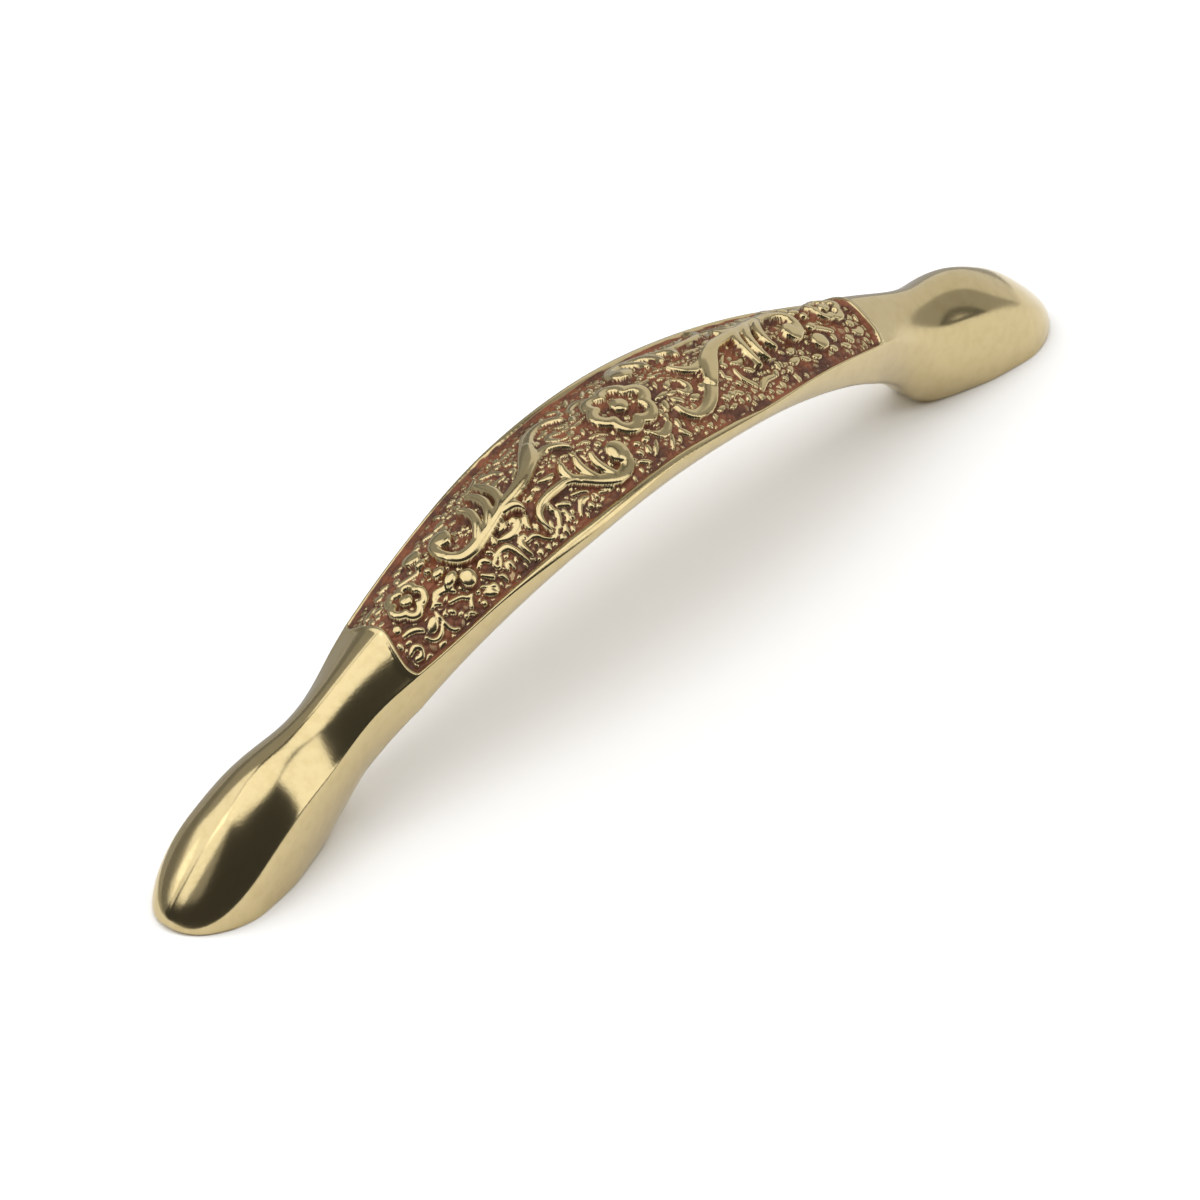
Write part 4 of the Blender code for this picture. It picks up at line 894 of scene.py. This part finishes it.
class Finish:
    """A shader tree under construction, for a material or the world."""

    def __init__(self, owner):
        owner.use_nodes = True
        self.owner = owner
        self.tree = owner.node_tree
        self.tree.nodes.clear()

    def node(self, kind, settings=None, sockets=None, output=0):
        """Add a node, set it, fill its sockets with numbers or links, and give one of its outputs."""
        made = self.tree.nodes.new(kind)
        for name, setting in (settings or {}).items():
            setattr(made, name, setting)
        for name, given in (sockets or {}).items():
            if isinstance(given, Value):
                self.tree.links.new(given.link, made.inputs[name])
            else:
                made.inputs[name].default_value = given
        return Value(self, made.outputs[output]) if made.outputs else made

    def blend(self, factor, first, second):
        """A colour between two, by the factor."""
        return self.node("ShaderNodeMix", {"data_type": "RGBA"}, {0: factor, 6: first, 7: second}, output=2)

    def smooth(self, value, low, high):
        """0 below low, 1 above high, and a smooth rise between."""
        return self.node("ShaderNodeMapRange", {"interpolation_type": "SMOOTHSTEP"},
                         {"Value": value, "From Min": low, "From Max": high})

    def noise(self, place, scale, detail=2.0, roughness=0.5):
        """A cloudy value from 0 to 1. scale is in clouds a metre."""
        return self.node("ShaderNodeTexNoise", {}, {"Vector": place, "Scale": scale, "Detail": detail,
                                                    "Roughness": roughness})


def cast_brass():
    """Buffed brass over cast skin, with worn red-brown stain where the stain attribute is high."""
    finish = Finish(bpy.data.materials.new("cast_brass"))
    place = finish.node("ShaderNodeTexCoord", {}, {}, output="Object")
    stain = finish.node("ShaderNodeAttribute", {"attribute_name": "stain"}, {}, output="Fac")
    cloud = finish.noise(place, CLOUD_SCALE, 3.0)
    grain = finish.noise(place, GRAIN_SCALE, 3.0, 0.6)
    buffing = finish.noise(place, BUFFING_SCALE, 1.0)
    patches = finish.noise(place, PATCH_SCALE, 3.0)
    worn = finish.smooth(stain + STAIN_FRAYING * (cloud - 0.5), *STAIN_EDGES)
    brass = finish.blend(finish.smooth(cloud, *DULL_EDGES), BRASS, BRASS_DULL)
    red = finish.smooth(RED_BY_PATCH * patches + RED_BY_GRAIN * grain, *RED_EDGES)
    brown = finish.blend(red, STAIN_DARK, STAIN_RED)
    colour = finish.blend(worn, brass, brown)
    polished = POLISHED_ROUGHNESS + CLOUDED_ROUGHNESS * cloud
    roughness = polished + worn * (STAIN_ROUGHNESS - polished)
    metallic = 1.0 - STAIN_COVER * worn
    height = SKIN_ON_BRASS * grain + SKIN_ON_STAIN * worn * grain
    skin = finish.node("ShaderNodeBump", {}, {"Strength": SKIN_STRENGTH, "Distance": SKIN_DEPTH,
                                              "Height": height})
    waves = finish.node("ShaderNodeBump", {}, {"Strength": BUFFING_STRENGTH, "Distance": BUFFING_DEPTH,
                                               "Height": buffing, "Normal": skin})
    shader = finish.node("ShaderNodeBsdfPrincipled", {}, {"Base Color": colour, "Metallic": metallic,
                                                          "Roughness": roughness, "Normal": waves})
    finish.node("ShaderNodeOutputMaterial", {}, {"Surface": shader})
    return finish.owner


def seen_directly(finish):
    """1 for what the camera sees, directly, mirrored in metal or through glass, and 0 for other light."""
    path = finish.tree.nodes.new("ShaderNodeLightPath")
    camera = Value(finish, path.outputs["Is Camera Ray"])
    glossy = Value(finish, path.outputs["Is Glossy Ray"])
    clear = Value(finish, path.outputs["Is Transmission Ray"])
    return camera.math("MAXIMUM", camera, camera.math("MAXIMUM", glossy, clear))


def floor():
    """A wide white floor that keeps the pull's shadow."""
    deselect_all()
    bpy.ops.mesh.primitive_plane_add(size=FLOOR_SIZE)
    made = bpy.context.object
    made.name = "floor"
    finish = Finish(bpy.data.materials.new("white_floor"))
    level = FLOOR_COLOUR + (FLOOR_SEEN / FLOOR_COLOUR - FLOOR_COLOUR) * seen_directly(finish)
    grey = finish.node("ShaderNodeCombineColor", {}, {0: level, 1: level, 2: level})
    shader = finish.node("ShaderNodeBsdfDiffuse", {}, {"Color": grey})
    finish.node("ShaderNodeOutputMaterial", {}, {"Surface": shader})
    made.data.materials.append(finish.owner)


def surroundings():
    """White all round for the camera and for what the brass mirrors, and a grey studio for other light."""
    world = bpy.data.worlds.new("studio")
    bpy.context.scene.world = world
    finish = Finish(world)
    strength = WORLD_LIGHT + (1.0 - WORLD_LIGHT) * seen_directly(finish)
    shader = finish.node("ShaderNodeBackground", {}, {"Color": (1.0, 1.0, 1.0, 1.0), "Strength": strength})
    finish.node("ShaderNodeOutputWorld", {}, {"Surface": shader})


def screen(name, first, last, low, high, level):
    """A curved screen round the pull, from one azimuth to another, that only the brass mirrors."""
    deselect_all()
    bpy.ops.mesh.primitive_cylinder_add(vertices=SCREEN_SIDES, radius=SCREEN_RADIUS, depth=high - low,
                                        end_fill_type="NOTHING", location=(0.0, 0.0, (high + low) / 2))
    made = bpy.context.object
    made.name = name
    bpy.ops.object.transform_apply(location=True)
    bpy.ops.object.mode_set(mode="EDIT")
    bpy.ops.mesh.select_mode(type="FACE")
    bpy.ops.mesh.select_all(action="DESELECT")
    bpy.ops.object.mode_set(mode="OBJECT")
    for face in made.data.polygons:
        azimuth = math.degrees(math.atan2(face.center.x, -face.center.y)) % 360.0
        face.select = not first < azimuth < last and not first < azimuth - 360.0 < last
    bpy.ops.object.mode_set(mode="EDIT")
    bpy.ops.mesh.delete(type="FACE")
    bpy.ops.object.mode_set(mode="OBJECT")
    hang(made, level)


def ceiling():
    """A dark ceiling above the lamps, which the brass mirrors between them."""
    deselect_all()
    bpy.ops.mesh.primitive_circle_add(vertices=SCREEN_SIDES, radius=SCREEN_RADIUS, fill_type="NGON",
                                      location=(0.0, 0.0, WALL_HEIGHT))
    made = bpy.context.object
    made.name = "ceiling"
    bpy.ops.object.transform_apply(location=True)
    hang(made, CEILING_LEVEL)
    made.visible_diffuse = False


def back_card():
    """A grey card on the floor behind the pull, which only the brass mirrors."""
    deselect_all()
    bpy.ops.mesh.primitive_plane_add(size=CARD_SIZE, location=CARD_PLACE)
    made = bpy.context.object
    made.name = "back_card"
    hang(made, CARD_LEVEL)
    made.visible_diffuse = False


def hang(made, level):
    """Give a screen of the studio an even brightness, and keep it out of the camera's view."""
    finish = Finish(bpy.data.materials.new(made.name + "_cloth"))
    shader = finish.node("ShaderNodeEmission", {}, {"Strength": level})
    finish.node("ShaderNodeOutputMaterial", {}, {"Surface": shader})
    made.data.materials.append(finish.owner)
    made.visible_camera = False
    made.visible_shadow = False


def direction(azimuth, elevation):
    """The direction from the pull to an azimuth, where 0 is -Y and 90 is +X, and an elevation."""
    a = math.radians(azimuth)
    e = math.radians(elevation)
    return Vector((math.sin(a) * math.cos(e), -math.cos(a) * math.cos(e), math.sin(e)))


def softbox(name, shape, azimuth, elevation, width, depth, radiance):
    """A flat lamp that faces the pull. Radiance is the brightness of its face."""
    toward = direction(azimuth, elevation)
    lamp = bpy.data.lights.new(name, "AREA")
    lamp.shape = shape
    lamp.size = width
    lamp.size_y = depth
    lamp.energy = radiance * width * depth * math.pi
    if shape == "DISK":
        lamp.energy *= math.pi / 4
    made = bpy.data.objects.new(name, lamp)
    bpy.context.scene.collection.objects.link(made)
    made.location = toward * LAMP_DISTANCE
    made.rotation_mode = "QUATERNION"
    made.rotation_quaternion = toward.to_track_quat("Z", "Y")
    made.visible_camera = False


def camera():
    """The camera where the photograph was taken from, with a long lens."""
    roll = math.radians(CAMERA_ROLL)
    back = direction(CAMERA_AZIMUTH, CAMERA_ELEVATION)
    level = direction(CAMERA_AZIMUTH + 90.0, 0.0)
    up = back.cross(level)
    eye = back * CAMERA_DISTANCE - level * CAMERA_ASIDE - up * CAMERA_BELOW
    right = math.cos(roll) * level - math.sin(roll) * up
    up = math.sin(roll) * level + math.cos(roll) * up
    lens = bpy.data.cameras.new("camera")
    lens.sensor_width = SENSOR_WIDTH
    lens.lens = FOCAL_PIXELS / IMAGE_SIZE * SENSOR_WIDTH
    made = bpy.data.objects.new("camera", lens)
    bpy.context.scene.collection.objects.link(made)
    made.matrix_world = Matrix((right, up, back)).transposed().to_4x4()
    made.location = eye
    bpy.context.scene.camera = made


casting_piece = wrap_casting()
cut(casting_piece, grinding_block())
cut(casting_piece, tap(-HOLE_X))
cut(casting_piece, tap(HOLE_X))
sharpen_cuts(casting_piece)
casting_piece.data.materials.clear()
casting_piece.data.materials.append(cast_brass())
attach(casting_piece, "root")
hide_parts(NODE)

floor()
surroundings()
ceiling()
back_card()
for screen_row in SCREENS:
    screen(*screen_row)
for lamp_row in LAMPS:
    softbox(*lamp_row)
camera()

bpy.context.scene.view_settings.view_transform = "Standard"
